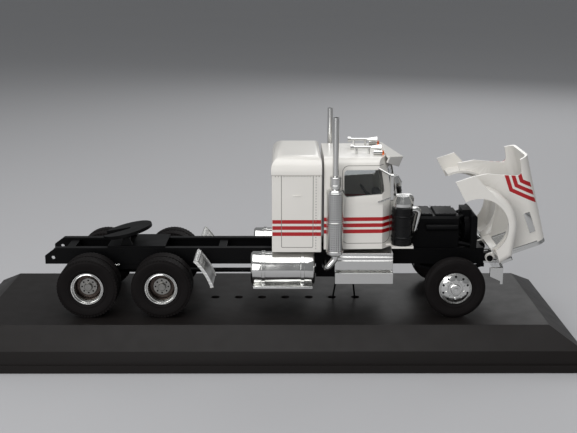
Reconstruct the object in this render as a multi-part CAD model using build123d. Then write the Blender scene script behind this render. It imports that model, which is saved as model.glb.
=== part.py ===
from build123d import *
import math
import os

# Display model of a long-nose 6x4 tractor on its plinth, millimetres.
# X forward, Y to the truck's left, Z up from the plinth's underside.
# Sizes of the truck itself are heights above the plinth's deck.

# Plinth
PLINTH_LENGTH = 262.6
PLINTH_WIDTH = 97.0
PLINTH_HEIGHT = 16.25
PLINTH_WALL = 2.0
BEVEL_RUN = 11.85
BEVEL_RISE = 7.05
LIP_HEIGHT = 3.35
LIP_STEP = 0.8
TIE_HOLE_RADIUS = 1.9
TIE_HOLE_PITCH = 10.45
TIE_HOLE_COUNT = 7
TIE_HOLE_FIRST_X = -21.9
TIE_WIRE_RADIUS = 0.4

# Wheels and axles
TANDEM_X = -58.1
TANDEM_SPREAD = 31.0
WHEELBASE = 138.85
TYRE_RADIUS = 12.7
TYRE_WIDTH = 5.8
TYRE_SHOULDER = 1.2
DECK_CLEARANCE = 0.12
DUAL_GAP = 0.7
OUTER_TYRE_FACE = 28.0
RIM_RADIUS = 6.9
RIM_WALL = 0.55
ROD_RADIUS = 0.95
ROD_CLEARANCE = 0.05
HUB_RADIUS = 2.3

# Frame
FRAME_HALF_WIDTH = 10.0
RAIL_BOTTOM = 18.6
RAIL_HEIGHT = 7.15
RAIL_WEB = 1.0
RAIL_FLANGE = 3.0
RAIL_FLANGE_THICK = 0.9
RAIL_REAR_X = -94.7
RAIL_FRONT_GAP = 2.2
RAIL_REAR_CHAMFER = 4.6
RAIL_REAR_DROP = 3.45
TOW_HOLE_RADIUS = 0.8
TOW_HOLE_INSET = 3.5
TOW_HOLE_RISE = 2.8

# Running gear under the frame
HOUSING_RADIUS = 2.0
HOUSING_HALF_LENGTH = 15.2
CARRIER_RADIUS = 4.3
CARRIER_LENGTH = 7.0
CARRIER_EDGE = 1.6
PINION_RADIUS = 1.7
PINION_LENGTH = 6.6
SHAFT_RADIUS = 1.0
YOKE_RADIUS = 1.6
YOKE_LENGTH = 2.4
BEAM_RADIUS = 1.7
BEAM_HALF_LENGTH = 20.0
SPRING_WIDTH = 2.2
SPRING_THICK = 1.2
SPRING_REACH = 14.0
SPRING_SAG = 2.2

# Hood and its hinge
HINGE_Z = 21.7
HINGE_PIN_RADIUS = 0.85
HINGE_CLEARANCE = 0.05
HINGE_EYE_RADIUS = 1.8
HINGE_ARM_WIDTH = 1.6
HOOD_OPEN_ANGLE = 70.0
HOOD_REAR_X = 59.8
HOOD_FRONT_X = 97.0
HOOD_REAR_TOP = 50.3
HOOD_FRONT_TOP = 46.8
HINGE_LEAD = 0.7
HOOD_REAR_HALF = 16.2
HOOD_FRONT_HALF = 14.6
HOOD_WALL = 1.1
ARCH_X = 78.7
ARCH_Z = 19.9
ARCH_RADIUS = 12.4
FENDER_BAND = 3.7
FENDER_OUTER = 27.0
FENDER_WALL = 1.0

# Cab and sleeper
CAB_REAR_X = 25.6
CAB_SHOULDER_X = 50.0
CAB_PILLAR_X = 54.4
CAB_NOSE_X = 58.3
CAB_BOTTOM = 28.9
CAB_BELT = 47.8
CAB_TOP = 67.0
CAB_REAR_HALF = 23.5
CAB_SHOULDER_HALF = 22.6
CAB_PILLAR_HALF = 18.0
CAB_TUMBLE = 2.6
SCREEN_LEAN = 3.6
CAB_WALL = 1.2
CAB_ROOF_EDGE = 5.5
SLEEPER_REAR_X = 3.9
SLEEPER_GAP = 1.0
SLEEPER_HALF = 24.0
SLEEPER_BOTTOM = 27.7
SLEEPER_TOP = 68.0
SLEEPER_SEAM = 60.6
SLEEPER_EDGE = 7.0

# Values that follow from the sizes above
HINGE_X = HOOD_FRONT_X + HINGE_LEAD
RAIL_FRONT_X = HINGE_X - RAIL_FRONT_GAP
FRONT_X = TANDEM_X + WHEELBASE
AXLE_Z = TYRE_RADIUS + DECK_CLEARANCE
RAIL_TOP = RAIL_BOTTOM + RAIL_HEIGHT
RAIL_INNER = FRAME_HALF_WIDTH - RAIL_WEB
DUAL_WIDTH = 2 * TYRE_WIDTH + DUAL_GAP
SIDES = (("right", -1), ("left", 1))


def block(x0, x1, y0, y1, z0, z1):
    """A box between two corners."""
    return Pos((x0 + x1) / 2, (y0 + y1) / 2, (z0 + z1) / 2) * Box(x1 - x0, y1 - y0, z1 - z0)


def bar(start, end, radius):
    """A round bar between two points."""
    run = Vector(*end) - Vector(*start)
    plane = Plane(origin=start, z_dir=run)
    return plane * Cylinder(radius, run.length, align=(Align.CENTER, Align.CENTER, Align.MIN))


def side_face(*points):
    """A face with straight sides, drawn in the side view from X and Z or in the front view from Y and Z."""
    return make_face(Polyline(*points, close=True))


def slab(face, y0, y1):
    """A side-view face carried from y0 to y1."""
    return extrude(Plane.XZ.offset(-y0) * face, -(y1 - y0))


def front_slab(face, x0, x1):
    """A front-view face, drawn in Y and Z, carried from x0 to x1."""
    return extrude(Plane.YZ.offset(x0) * face, x1 - x0)


def plan_slab(face, z0, z1):
    """A plan-view face, drawn in X and Y, carried from z0 to z1."""
    return extrude(Plane.XY.offset(z0) * face, z1 - z0)


def pipe(points, radius, bend):
    """A round pipe along straight runs joined by bends."""
    path = FilletPolyline(*points, radius=bend)
    section = Plane(origin=points[0], z_dir=path % 0) * Circle(radius)
    return sweep(section, path=path)


def mirrored(shape):
    """The same shape on the other side of the truck."""
    return mirror(shape, about=Plane.XZ)


def on_side(shape, sign):
    """A shape drawn on the truck's left, put on the named side."""
    return shape if sign > 0 else mirrored(shape)


parts = {}


def plinth_form(inset, bottom, top):
    """The plinth's skirt and bevel, drawn in by an even inset."""
    length = PLINTH_LENGTH - 2 * LIP_STEP - 2 * inset
    width = PLINTH_WIDTH - 2 * LIP_STEP - 2 * inset
    shoulder = -BEVEL_RISE
    skirt = block(-length / 2, length / 2, -width / 2, width / 2, bottom, shoulder)
    lower = Plane.XY.offset(shoulder) * Rectangle(length, width)
    upper = Plane.XY.offset(top) * Rectangle(length - 2 * BEVEL_RUN, width - 2 * BEVEL_RUN)
    return skirt + loft([lower, upper], ruled=True)


def make_plinth():
    floor = -PLINTH_HEIGHT
    body = plinth_form(0, floor, 0)
    half_l = PLINTH_LENGTH / 2
    half_w = PLINTH_WIDTH / 2
    body += block(-half_l, half_l, -half_w, half_w, floor, floor + LIP_HEIGHT)
    body -= plinth_form(PLINTH_WALL, floor, -PLINTH_WALL)
    for index in range(TIE_HOLE_COUNT):
        x = TIE_HOLE_FIRST_X + index * TIE_HOLE_PITCH
        body -= Pos(x, 0, -PLINTH_WALL / 2) * Cylinder(TIE_HOLE_RADIUS, 2 * PLINTH_WALL)
    return body


parts["plinth"] = make_plinth()

# Tie wire: one loop through two of the holes, over the lug under the gearbox
TIE_REAR_X = TIE_HOLE_FIRST_X + 5 * TIE_HOLE_PITCH
TIE_FRONT_X = TIE_HOLE_FIRST_X + 6 * TIE_HOLE_PITCH
TIE_MEMBER_LENGTH = 5.0
TIE_MEMBER_X = 36.0
SUMP_BOTTOM = 15.9
WIRE_ROOM = 2.2
TIE_MEMBER_TOP = SUMP_BOTTOM - WIRE_ROOM
WIRE_GAP = 0.05
WIRE_STANDOFF = TIE_WIRE_RADIUS + WIRE_GAP
WIRE_END = 3.2


def make_tie_wire():
    under = -PLINTH_WALL - WIRE_STANDOFF
    over = TIE_MEMBER_TOP + WIRE_STANDOFF
    rear = TIE_MEMBER_X - TIE_MEMBER_LENGTH / 2 - WIRE_STANDOFF
    front = TIE_MEMBER_X + TIE_MEMBER_LENGTH / 2 + WIRE_STANDOFF
    points = (
        (TIE_REAR_X + WIRE_END, 0, under),
        (TIE_REAR_X, 0, under),
        (rear, 0, over),
        (front, 0, over),
        (TIE_FRONT_X, 0, under),
        (TIE_FRONT_X - WIRE_END, 0, under),
    )
    return pipe(points, TIE_WIRE_RADIUS, 2 * TIE_WIRE_RADIUS)


parts["tie_wire"] = make_tie_wire()


# Frame rails: channels with the flanges turned in, chamfered behind and drilled for a tow pin
def make_rail():
    outline = side_face(
        (RAIL_REAR_X, RAIL_BOTTOM),
        (RAIL_FRONT_X, RAIL_BOTTOM),
        (RAIL_FRONT_X, RAIL_TOP),
        (RAIL_REAR_X + RAIL_REAR_CHAMFER, RAIL_TOP),
        (RAIL_REAR_X, RAIL_TOP - RAIL_REAR_DROP),
    )
    rail = slab(outline, FRAME_HALF_WIDTH - RAIL_FLANGE, FRAME_HALF_WIDTH)
    rail -= block(
        RAIL_REAR_X - 1,
        RAIL_FRONT_X + 1,
        0,
        RAIL_INNER,
        RAIL_BOTTOM + RAIL_FLANGE_THICK,
        RAIL_TOP - RAIL_FLANGE_THICK,
    )
    x = RAIL_REAR_X + TOW_HOLE_INSET
    z = RAIL_BOTTOM + TOW_HOLE_RISE
    return rail - bar((x, 0, z), (x, 2 * FRAME_HALF_WIDTH, z), TOW_HOLE_RADIUS)


for side, sign in SIDES:
    parts["rail_" + side] = on_side(make_rail(), sign)

MEMBER_BOTTOM = RAIL_BOTTOM + RAIL_FLANGE_THICK
MEMBER_TOP = RAIL_TOP - RAIL_FLANGE_THICK
MEMBER_WALL = 0.9


def make_cross_member(x, length):
    """A channel across the frame, open to the rear."""
    member = block(x - length / 2, x + length / 2, -RAIL_INNER, RAIL_INNER, MEMBER_BOTTOM, MEMBER_TOP)
    return member - block(
        x - length,
        x + length / 2 - MEMBER_WALL,
        -RAIL_INNER,
        RAIL_INNER,
        MEMBER_BOTTOM + MEMBER_WALL,
        MEMBER_TOP - MEMBER_WALL,
    )


REAR_MEMBER_INSET = 10.2
MIDDLE_MEMBER_X = -18.0
MEMBER_LENGTH = 3.6
TANDEM_MEMBER_LENGTH = 6.0
# centre X, length
CROSS_MEMBERS = (
    (RAIL_REAR_X + REAR_MEMBER_INSET, MEMBER_LENGTH),
    (TANDEM_X, TANDEM_MEMBER_LENGTH),
    (MIDDLE_MEMBER_X, MEMBER_LENGTH),
    (RAIL_FRONT_X - MEMBER_LENGTH / 2, MEMBER_LENGTH),
)
parts["cross_members"] = Part() + [make_cross_member(x, length) for x, length in CROSS_MEMBERS]


# Front axle: a beam bored for the wheel rod, hung from two leaf springs
SPRING_Y = FRAME_HALF_WIDTH - RAIL_FLANGE / 2
HANGER_LENGTH = 2.4
SEAT_RISE = 0.4


def make_leaf_spring(x, seat, reach, hanger_top):
    """A leaf pack bowed down onto a seat, with a hanger at each end."""
    tip = seat + SPRING_THICK + SPRING_SAG
    low = ThreePointArc((x - reach, tip - SPRING_THICK), (x, seat), (x + reach, tip - SPRING_THICK))
    high = ThreePointArc((x + reach, tip), (x, seat + SPRING_THICK), (x - reach, tip))
    ends = Line(low @ 1, high @ 0) + Line(high @ 1, low @ 0)
    leaf = make_face(Curve() + low + high + ends)
    y0 = SPRING_Y - SPRING_WIDTH / 2
    y1 = SPRING_Y + SPRING_WIDTH / 2
    spring = slab(leaf, y0, y1)
    for end in (-1, 1):
        hanger = x + end * reach
        half = HANGER_LENGTH / 2
        spring += block(hanger - half, hanger + half, y0, y1, tip - SPRING_THICK, hanger_top)
    return spring


def make_front_axle_beam():
    ends = BEAM_HALF_LENGTH
    beam = bar((FRONT_X, -ends, AXLE_Z), (FRONT_X, ends, AXLE_Z), BEAM_RADIUS)
    seat = AXLE_Z + BEAM_RADIUS + SEAT_RISE
    for sign in (-1, 1):
        y = sign * SPRING_Y
        half = SPRING_WIDTH / 2 + SEAT_RISE
        beam += block(FRONT_X - half, FRONT_X + half, y - half, y + half, AXLE_Z, seat)
    beam -= bar((FRONT_X, -2 * ends, AXLE_Z), (FRONT_X, 2 * ends, AXLE_Z), ROD_RADIUS + ROD_CLEARANCE)
    spring = make_leaf_spring(FRONT_X, seat, SPRING_REACH, RAIL_BOTTOM)
    return beam + spring + mirrored(spring)


parts["front_axle_beam"] = make_front_axle_beam()


# Drive axles: a tube with a drum-shaped carrier and a pinion nose
def make_drive_housing(x):
    length = HOUSING_HALF_LENGTH
    body = bar((x, -length, AXLE_Z), (x, length, AXLE_Z), HOUSING_RADIUS)
    half = CARRIER_LENGTH / 2
    drum = bar((x - half, 0, AXLE_Z), (x + half, 0, AXLE_Z), CARRIER_RADIUS)
    body += chamfer(drum.edges().filter_by(GeomType.CIRCLE), CARRIER_EDGE)
    body += bar((x, 0, AXLE_Z), (x + PINION_LENGTH, 0, AXLE_Z), PINION_RADIUS)
    return body - bar((x, -2 * length, AXLE_Z), (x, 2 * length, AXLE_Z), ROD_RADIUS + ROD_CLEARANCE)


# name, X
DRIVE_AXLES = (
    ("front", TANDEM_X + TANDEM_SPREAD / 2),
    ("rear", TANDEM_X - TANDEM_SPREAD / 2),
)
parts["drive_housings"] = Part() + [make_drive_housing(x) for name, x in DRIVE_AXLES]

# Tandem suspension: one bowed leaf pack on each side, over both axles and under a saddle
SADDLE_LENGTH = 8.0
SADDLE_HEIGHT = 1.2
SPRING_END = 2.0
SPRING_PAD_HALF = 1.4


def make_tandem_suspension():
    seat = AXLE_Z + HOUSING_RADIUS
    reach = TANDEM_SPREAD / 2
    crown = RAIL_BOTTOM - SADDLE_HEIGHT
    tip = reach + SPRING_END
    low = ThreePointArc(
        (TANDEM_X - tip, seat),
        (TANDEM_X, crown - SPRING_THICK),
        (TANDEM_X + tip, seat),
    )
    high = ThreePointArc(
        (TANDEM_X + tip, seat + SPRING_THICK),
        (TANDEM_X, crown),
        (TANDEM_X - tip, seat + SPRING_THICK),
    )
    ends = Line(low @ 1, high @ 0) + Line(high @ 1, low @ 0)
    y0 = SPRING_Y - SPRING_WIDTH / 2
    y1 = SPRING_Y + SPRING_WIDTH / 2
    spring = slab(make_face(Curve() + low + high + ends), y0, y1)
    half = SADDLE_LENGTH / 2
    spring += block(TANDEM_X - half, TANDEM_X + half, y0, y1, crown - SPRING_THICK, RAIL_BOTTOM)
    for end in (-1, 1):
        x = TANDEM_X + end * reach
        spring += block(x - SPRING_PAD_HALF, x + SPRING_PAD_HALF, y0, y1, seat, seat + 2 * SPRING_THICK)
    return spring + mirrored(spring)


parts["tandem_suspension"] = make_tandem_suspension()

# Engine and gearbox: a block seated on the rails, a tapered bell, the gearbox and its drop tail
ENGINE_REAR_X = 63.0
ENGINE_FRONT_X = 84.5
ENGINE_HALF = 9.0
ENGINE_TOP = 39.4
ENGINE_EDGE = 1.0
SUMP_HALF = FRAME_HALF_WIDTH - RAIL_FLANGE - 0.4
SUMP_STEP = 2.0
SUMP_PAN_HALF = 5.0
SUMP_PAN_INSET = 3.0
BELL_END_HEIGHT = 6.4
GEARBOX_REAR_X = 31.0
GEARBOX_FRONT_X = 54.0
GEARBOX_HALF = 4.6
GEARBOX_TOP = 24.6
TAIL_LENGTH = 8.0
TAIL_HALF = 2.8
TAIL_DROP = 2.4
TAIL_STEP = 2.0
LUG_WALL = 0.8
LUG_HALF = 1.9
LUG_BAR = 1.2
COVER_HEIGHT = 0.9
COVER_HALF = 7.6
COVER_INSET = 1.2
COVER_GAP = 1.0
COVER_EDGE = 0.4
MANIFOLD_RADIUS = 1.3
MANIFOLD_Z = 35.0
MANIFOLD_REAR = 7.0
MANIFOLD_FRONT = 1.0
RUNNER_RADIUS = 0.7
RUNNER_COUNT = 6
RUNNER_END = 1.5
FAN_Z = 33.2
FAN_RADIUS = 6.2
FAN_BLADE = 2.2
FAN_THICK = 0.6
FAN_PAIRS = 3
PULLEY_RADIUS = 2.4
PULLEY_LENGTH = 1.6


def make_engine():
    body = block(ENGINE_REAR_X, ENGINE_FRONT_X, -ENGINE_HALF, ENGINE_HALF, RAIL_TOP, ENGINE_TOP)
    body = chamfer(body.edges().filter_by(Axis.X).group_by(Axis.Z)[-1], ENGINE_EDGE)
    pan_top = SUMP_BOTTOM + SUMP_STEP
    body += block(ENGINE_REAR_X, ENGINE_FRONT_X, -SUMP_HALF, SUMP_HALF, pan_top, RAIL_TOP)
    pan_rear = ENGINE_REAR_X + SUMP_PAN_INSET
    pan_front = ENGINE_FRONT_X - SUMP_PAN_INSET
    body += block(pan_rear, pan_front, -SUMP_PAN_HALF, SUMP_PAN_HALF, SUMP_BOTTOM, pan_top)
    middle = (pan_top + GEARBOX_TOP) / 2
    wide = Pos(0, middle) * Rectangle(2 * SUMP_HALF, GEARBOX_TOP - pan_top)
    slim = Pos(0, middle) * Rectangle(2 * GEARBOX_HALF, BELL_END_HEIGHT)
    bell = [Plane.YZ.offset(GEARBOX_FRONT_X) * slim, Plane.YZ.offset(ENGINE_REAR_X) * wide]
    body += loft(bell, ruled=True)
    body += block(GEARBOX_REAR_X, GEARBOX_FRONT_X, -GEARBOX_HALF, GEARBOX_HALF, SUMP_BOTTOM, GEARBOX_TOP)
    rear = GEARBOX_REAR_X - TAIL_LENGTH
    tail_top = GEARBOX_TOP - TAIL_STEP
    return body + block(rear, GEARBOX_REAR_X, -TAIL_HALF, TAIL_HALF, AXLE_Z - TAIL_DROP, tail_top)


def make_fan():
    """The pulley on the block's front and the fan blades at its end."""
    nose = ENGINE_FRONT_X + PULLEY_LENGTH
    fan = bar((ENGINE_FRONT_X, 0, FAN_Z), (nose, 0, FAN_Z), PULLEY_RADIUS)
    blade = Box(FAN_THICK, FAN_BLADE, 2 * FAN_RADIUS)
    for index in range(FAN_PAIRS):
        fan += Pos(nose - FAN_THICK / 2, 0, FAN_Z) * Rot(index * 180 / FAN_PAIRS, 0, 0) * blade
    return fan


def make_tie_lug():
    """The lug under the gearbox that the tie wire passes over."""
    x0 = TIE_MEMBER_X - TIE_MEMBER_LENGTH / 2
    x1 = TIE_MEMBER_X + TIE_MEMBER_LENGTH / 2
    low = TIE_MEMBER_TOP - LUG_BAR
    lug = block(x0, x1, -LUG_HALF - LUG_WALL, LUG_HALF + LUG_WALL, low, SUMP_BOTTOM)
    return lug - block(x0 - 1, x1 + 1, -LUG_HALF, LUG_HALF, TIE_MEMBER_TOP, SUMP_BOTTOM)


def make_engine_covers():
    middle = (ENGINE_REAR_X + ENGINE_FRONT_X) / 2
    # start X, end X
    runs = (
        (ENGINE_REAR_X + COVER_INSET, middle - COVER_GAP / 2),
        (middle + COVER_GAP / 2, ENGINE_FRONT_X - COVER_INSET),
    )
    covers = Part()
    for x0, x1 in runs:
        cover = block(x0, x1, -COVER_HALF, COVER_HALF, ENGINE_TOP, ENGINE_TOP + COVER_HEIGHT)
        covers += chamfer(cover.edges().group_by(Axis.Z)[-1], COVER_EDGE)
    return covers


def make_manifolds():
    """A log manifold with its runners on each side of the block."""
    y = ENGINE_HALF + RUNNER_RADIUS + MANIFOLD_RADIUS
    x0 = ENGINE_REAR_X + MANIFOLD_REAR
    x1 = ENGINE_FRONT_X - MANIFOLD_FRONT
    log = bar((x0, y, MANIFOLD_Z), (x1, y, MANIFOLD_Z), MANIFOLD_RADIUS)
    step = (x1 - x0 - 2 * RUNNER_END) / (RUNNER_COUNT - 1)
    for index in range(RUNNER_COUNT):
        x = x0 + RUNNER_END + index * step
        log += bar((x, ENGINE_HALF, MANIFOLD_Z), (x, y, MANIFOLD_Z), RUNNER_RADIUS)
    return log + mirrored(log)


parts["engine"] = make_engine() + make_fan() + make_tie_lug()
parts["engine_covers"] = make_engine_covers()
parts["engine_manifolds"] = make_manifolds()

# Radiator standing on the rails, with a header tank and a round shroud behind it
RADIATOR_SETBACK = 3.5
RADIATOR_DEPTH = 2.6
RADIATOR_HALF = 11.0
RADIATOR_TOP = 40.5
RADIATOR_EDGE = 1.0
SHROUD_RADIUS = 7.2
SHROUD_WALL = 0.7
SHROUD_DEPTH = 2.0
HEADER_HALF = 5.0
HEADER_DEPTH = 3.0
HEADER_TOP = 41.4
HEADER_HEIGHT = 3.0


def make_radiator():
    front = RAIL_FRONT_X - RADIATOR_SETBACK
    rear = front - RADIATOR_DEPTH
    core = block(rear, front, -RADIATOR_HALF, RADIATOR_HALF, RAIL_TOP, RADIATOR_TOP)
    core = chamfer(core.edges().filter_by(Axis.Y).group_by(Axis.Z)[-1], RADIATOR_EDGE)
    shroud = bar((rear - SHROUD_DEPTH, 0, FAN_Z), (rear, 0, FAN_Z), SHROUD_RADIUS)
    shroud -= bar((rear - SHROUD_DEPTH, 0, FAN_Z), (rear, 0, FAN_Z), SHROUD_RADIUS - SHROUD_WALL)
    low = HEADER_TOP - HEADER_HEIGHT
    header = block(rear - HEADER_DEPTH, rear + RADIATOR_EDGE, -HEADER_HALF, HEADER_HALF, low, HEADER_TOP)
    return core + shroud + header


parts["radiator"] = make_radiator()


# Propeller shafts: gearbox to the front drive axle, and on to the rear one
def make_shafts():
    front_x = DRIVE_AXLES[0][1]
    rear_x = DRIVE_AXLES[1][1]
    # start X, end X
    runs = (
        (front_x + PINION_LENGTH, GEARBOX_REAR_X - TAIL_LENGTH),
        (rear_x + PINION_LENGTH, front_x - CARRIER_LENGTH / 2),
    )
    shafts = Part()
    for x0, x1 in runs:
        shaft = bar((x0, 0, AXLE_Z), (x1, 0, AXLE_Z), SHAFT_RADIUS)
        shaft += bar((x0, 0, AXLE_Z), (x0 + YOKE_LENGTH, 0, AXLE_Z), YOKE_RADIUS)
        shaft += bar((x1 - YOKE_LENGTH, 0, AXLE_Z), (x1, 0, AXLE_Z), YOKE_RADIUS)
        shafts += shaft
    return shafts


parts["propeller_shafts"] = make_shafts()

# Wheels: tyres of plain section, steer discs bulged out, drive wheels dished in
TYRE_FACETS = 48
SEAT_CLEARANCE = 0.02
DISC_THICK = 0.9
STEER_BULGE = 1.3
STEER_HUB_REACH = 1.6
DRIVE_DISC_DEPTH = 4.6
DRIVE_HUB_REACH = 2.8
HAND_HOLE_COUNT = 10
HAND_HOLE_RADIUS = 0.5
HAND_HOLE_CIRCLE = 5.1
HAND_HOLE_EDGE = 0.4
HUB_CAP_RADIUS = 1.85


def make_tyre(x, outer_face):
    """One many-sided tyre at x whose outer sidewall is at the given Y: one sector's flats, turned round."""
    inner_face = outer_face - TYRE_WIDTH
    shoulder = TYRE_RADIUS - TYRE_SHOULDER
    sector = 2 * math.pi / TYRE_FACETS
    bore = (RIM_RADIUS + SEAT_CLEARANCE) / math.cos(sector / 2)
    # Place along the axle, radius over the corners
    section = (
        (inner_face, shoulder),
        (inner_face + TYRE_SHOULDER / 2, TYRE_RADIUS),
        (outer_face - TYRE_SHOULDER / 2, TYRE_RADIUS),
        (outer_face, shoulder),
        (outer_face - TYRE_SHOULDER, bore),
        (inner_face + TYRE_SHOULDER, bore),
    )
    start = [(x + radius, y, AXLE_Z) for y, radius in section]
    end = [(x + radius * math.cos(sector), y, AXLE_Z - radius * math.sin(sector)) for y, radius in section]
    flats = []
    for number in range(len(section)):
        corners = (start[number - 1], start[number], end[number], end[number - 1])
        flats.append(Face(Wire.make_polygon(corners)))
    axle = Axis((x, 0, AXLE_Z), (0, 1, 0))
    turns = [math.degrees(sector) * step for step in range(TYRE_FACETS)]
    return Solid(Shell([flat.rotate(axle, turn) for flat in flats for turn in turns]))


def make_steer_wheel():
    outer = OUTER_TYRE_FACE - TYRE_SHOULDER
    inner = OUTER_TYRE_FACE - TYRE_WIDTH + TYRE_SHOULDER
    bore = ROD_RADIUS + SEAT_CLEARANCE
    crown = outer + STEER_BULGE
    hub = crown + STEER_HUB_REACH
    profile = make_face(
        Polyline(
            (bore, crown - 2 * DISC_THICK),
            (HUB_RADIUS, crown - 2 * DISC_THICK),
            (RIM_RADIUS - RIM_WALL, outer - DISC_THICK),
            (RIM_RADIUS - RIM_WALL, inner),
            (RIM_RADIUS, inner),
            (RIM_RADIUS, outer),
            (HAND_HOLE_CIRCLE + HAND_HOLE_RADIUS + HAND_HOLE_EDGE, crown),
            (HUB_RADIUS, crown),
            (HUB_CAP_RADIUS, hub),
            (bore, hub),
            close=True,
        )
    )
    wheel = revolve(profile, Axis.Y)
    cutter = bar((HAND_HOLE_CIRCLE, inner, 0), (HAND_HOLE_CIRCLE, hub, 0), HAND_HOLE_RADIUS)
    for index in range(HAND_HOLE_COUNT):
        wheel -= Rot(0, index * 360 / HAND_HOLE_COUNT, 0) * cutter
    return wheel


def make_drive_wheel():
    outer = OUTER_TYRE_FACE - TYRE_SHOULDER / 2
    inner = OUTER_TYRE_FACE - DUAL_WIDTH + TYRE_SHOULDER
    disc = outer - DRIVE_DISC_DEPTH
    bore = ROD_RADIUS + SEAT_CLEARANCE
    profile = make_face(
        Polyline(
            (bore, disc - DISC_THICK),
            (RIM_RADIUS - RIM_WALL, disc - DISC_THICK),
            (RIM_RADIUS - RIM_WALL, inner),
            (RIM_RADIUS, inner),
            (RIM_RADIUS, outer),
            (RIM_RADIUS - RIM_WALL, outer),
            (RIM_RADIUS - 3 * RIM_WALL, disc),
            (HUB_RADIUS, disc),
            (HUB_RADIUS, disc + DRIVE_HUB_REACH),
            (bore, disc + DRIVE_HUB_REACH),
            close=True,
        )
    )
    return revolve(profile, Axis.Y)


def make_rod(x, reach):
    return bar((x, -reach, AXLE_Z), (x, reach, AXLE_Z), ROD_RADIUS)


steer_tyre = make_tyre(FRONT_X, OUTER_TYRE_FACE)
steer_wheel = Pos(FRONT_X, 0, AXLE_Z) * make_steer_wheel()
for side, sign in SIDES:
    parts["front_tyre_" + side] = on_side(steer_tyre, sign)
parts["front_wheels"] = steer_wheel + mirrored(steer_wheel)
parts["front_rod"] = make_rod(FRONT_X, OUTER_TYRE_FACE - TYRE_SHOULDER)

drive_wheel = make_drive_wheel()
drive_tyre_faces = (OUTER_TYRE_FACE, OUTER_TYRE_FACE - TYRE_WIDTH - DUAL_GAP)
for name, x in DRIVE_AXLES:
    tyres = Part() + [make_tyre(x, face) for face in drive_tyre_faces]
    wheel = Pos(x, 0, AXLE_Z) * drive_wheel
    for side, sign in SIDES:
        parts["drive_" + name + "_tyres_" + side] = on_side(tyres, sign)
        parts["drive_" + name + "_wheel_" + side] = on_side(wheel, sign)
    parts["drive_" + name + "_rod"] = make_rod(x, OUTER_TYRE_FACE - DRIVE_DISC_DEPTH)

# Fifth wheel: a base on the rails with two pin ears, and a tilting plate with a throat to the rear
FIFTH_SETBACK = 1.4
FIFTH_X = TANDEM_X - FIFTH_SETBACK
FIFTH_PIVOT_Z = 28.6
FIFTH_PIN_RADIUS = 0.8
FIFTH_PIN_CLEARANCE = 0.05
FIFTH_TILT = 13.0
FIFTH_PLATE_RADIUS = 11.0
FIFTH_PLATE_THICK = 1.5
FIFTH_PLATE_RISE = 1.9
FIFTH_THROAT_RADIUS = 1.5
FIFTH_THROAT_MOUTH = 4.6
FIFTH_BASE_THICK = 0.9
FIFTH_BASE_FRONT = 17.0
FIFTH_BASE_REAR = 8.0
EAR_THICK = 1.4
EAR_RADIUS = 1.6
EAR_FOOT = 2.6
EAR_GAP = 0.25
LUG_Y = 5.6


def make_fifth_wheel_base():
    top = RAIL_TOP + FIFTH_BASE_THICK
    x0 = FIFTH_X - FIFTH_BASE_REAR
    x1 = FIFTH_X + FIFTH_BASE_FRONT
    base = block(x0, x1, -FRAME_HALF_WIDTH, FRAME_HALF_WIDTH, RAIL_TOP, top)
    inner = LUG_Y + EAR_THICK / 2 + EAR_GAP
    ear = make_face(
        Polyline(
            (FIFTH_X - EAR_FOOT, top),
            (FIFTH_X + EAR_FOOT, top),
            (FIFTH_X + EAR_RADIUS, FIFTH_PIVOT_Z),
            (FIFTH_X - EAR_RADIUS, FIFTH_PIVOT_Z),
            close=True,
        )
    )
    ear += Pos(FIFTH_X, FIFTH_PIVOT_Z) * Circle(EAR_RADIUS)
    for sign in (-1, 1):
        base += on_side(slab(ear, inner, inner + EAR_THICK), sign)
        start = (FIFTH_X, sign * (LUG_Y - EAR_THICK / 2 - EAR_GAP), FIFTH_PIVOT_Z)
        end = (FIFTH_X, sign * (inner + EAR_THICK / 2), FIFTH_PIVOT_Z)
        base += bar(start, end, FIFTH_PIN_RADIUS)
    return base


def make_fifth_wheel_plate():
    bottom = FIFTH_PIVOT_Z + FIFTH_PLATE_RISE
    plan = Pos(FIFTH_X, 0) * Circle(FIFTH_PLATE_RADIUS)
    mouth_x = FIFTH_X - 1.2 * FIFTH_PLATE_RADIUS
    throat = make_face(
        Polyline(
            (FIFTH_X, -FIFTH_THROAT_RADIUS),
            (mouth_x, -FIFTH_THROAT_MOUTH),
            (mouth_x, FIFTH_THROAT_MOUTH),
            (FIFTH_X, FIFTH_THROAT_RADIUS),
            close=True,
        )
    )
    throat += Pos(FIFTH_X, 0) * Circle(FIFTH_THROAT_RADIUS)
    plate = plan_slab(plan - throat, bottom, bottom + FIFTH_PLATE_THICK)
    lug = side_face(
        (FIFTH_X - EAR_RADIUS, FIFTH_PIVOT_Z),
        (FIFTH_X + EAR_RADIUS, FIFTH_PIVOT_Z),
        (FIFTH_X + EAR_RADIUS, bottom),
        (FIFTH_X - EAR_RADIUS, bottom),
    )
    lug += Pos(FIFTH_X, FIFTH_PIVOT_Z) * Circle(EAR_RADIUS)
    for sign in (-1, 1):
        plate += on_side(slab(lug, LUG_Y - EAR_THICK / 2, LUG_Y + EAR_THICK / 2), sign)
    bore = FIFTH_PIN_RADIUS + FIFTH_PIN_CLEARANCE
    ends = FRAME_HALF_WIDTH
    plate -= bar((FIFTH_X, -ends, FIFTH_PIVOT_Z), (FIFTH_X, ends, FIFTH_PIVOT_Z), bore)
    return plate.rotate(Axis((FIFTH_X, 0, FIFTH_PIVOT_Z), (0, 1, 0)), -FIFTH_TILT)


parts["fifth_wheel_base"] = make_fifth_wheel_base()
parts["fifth_wheel_plate"] = make_fifth_wheel_plate()

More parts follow.
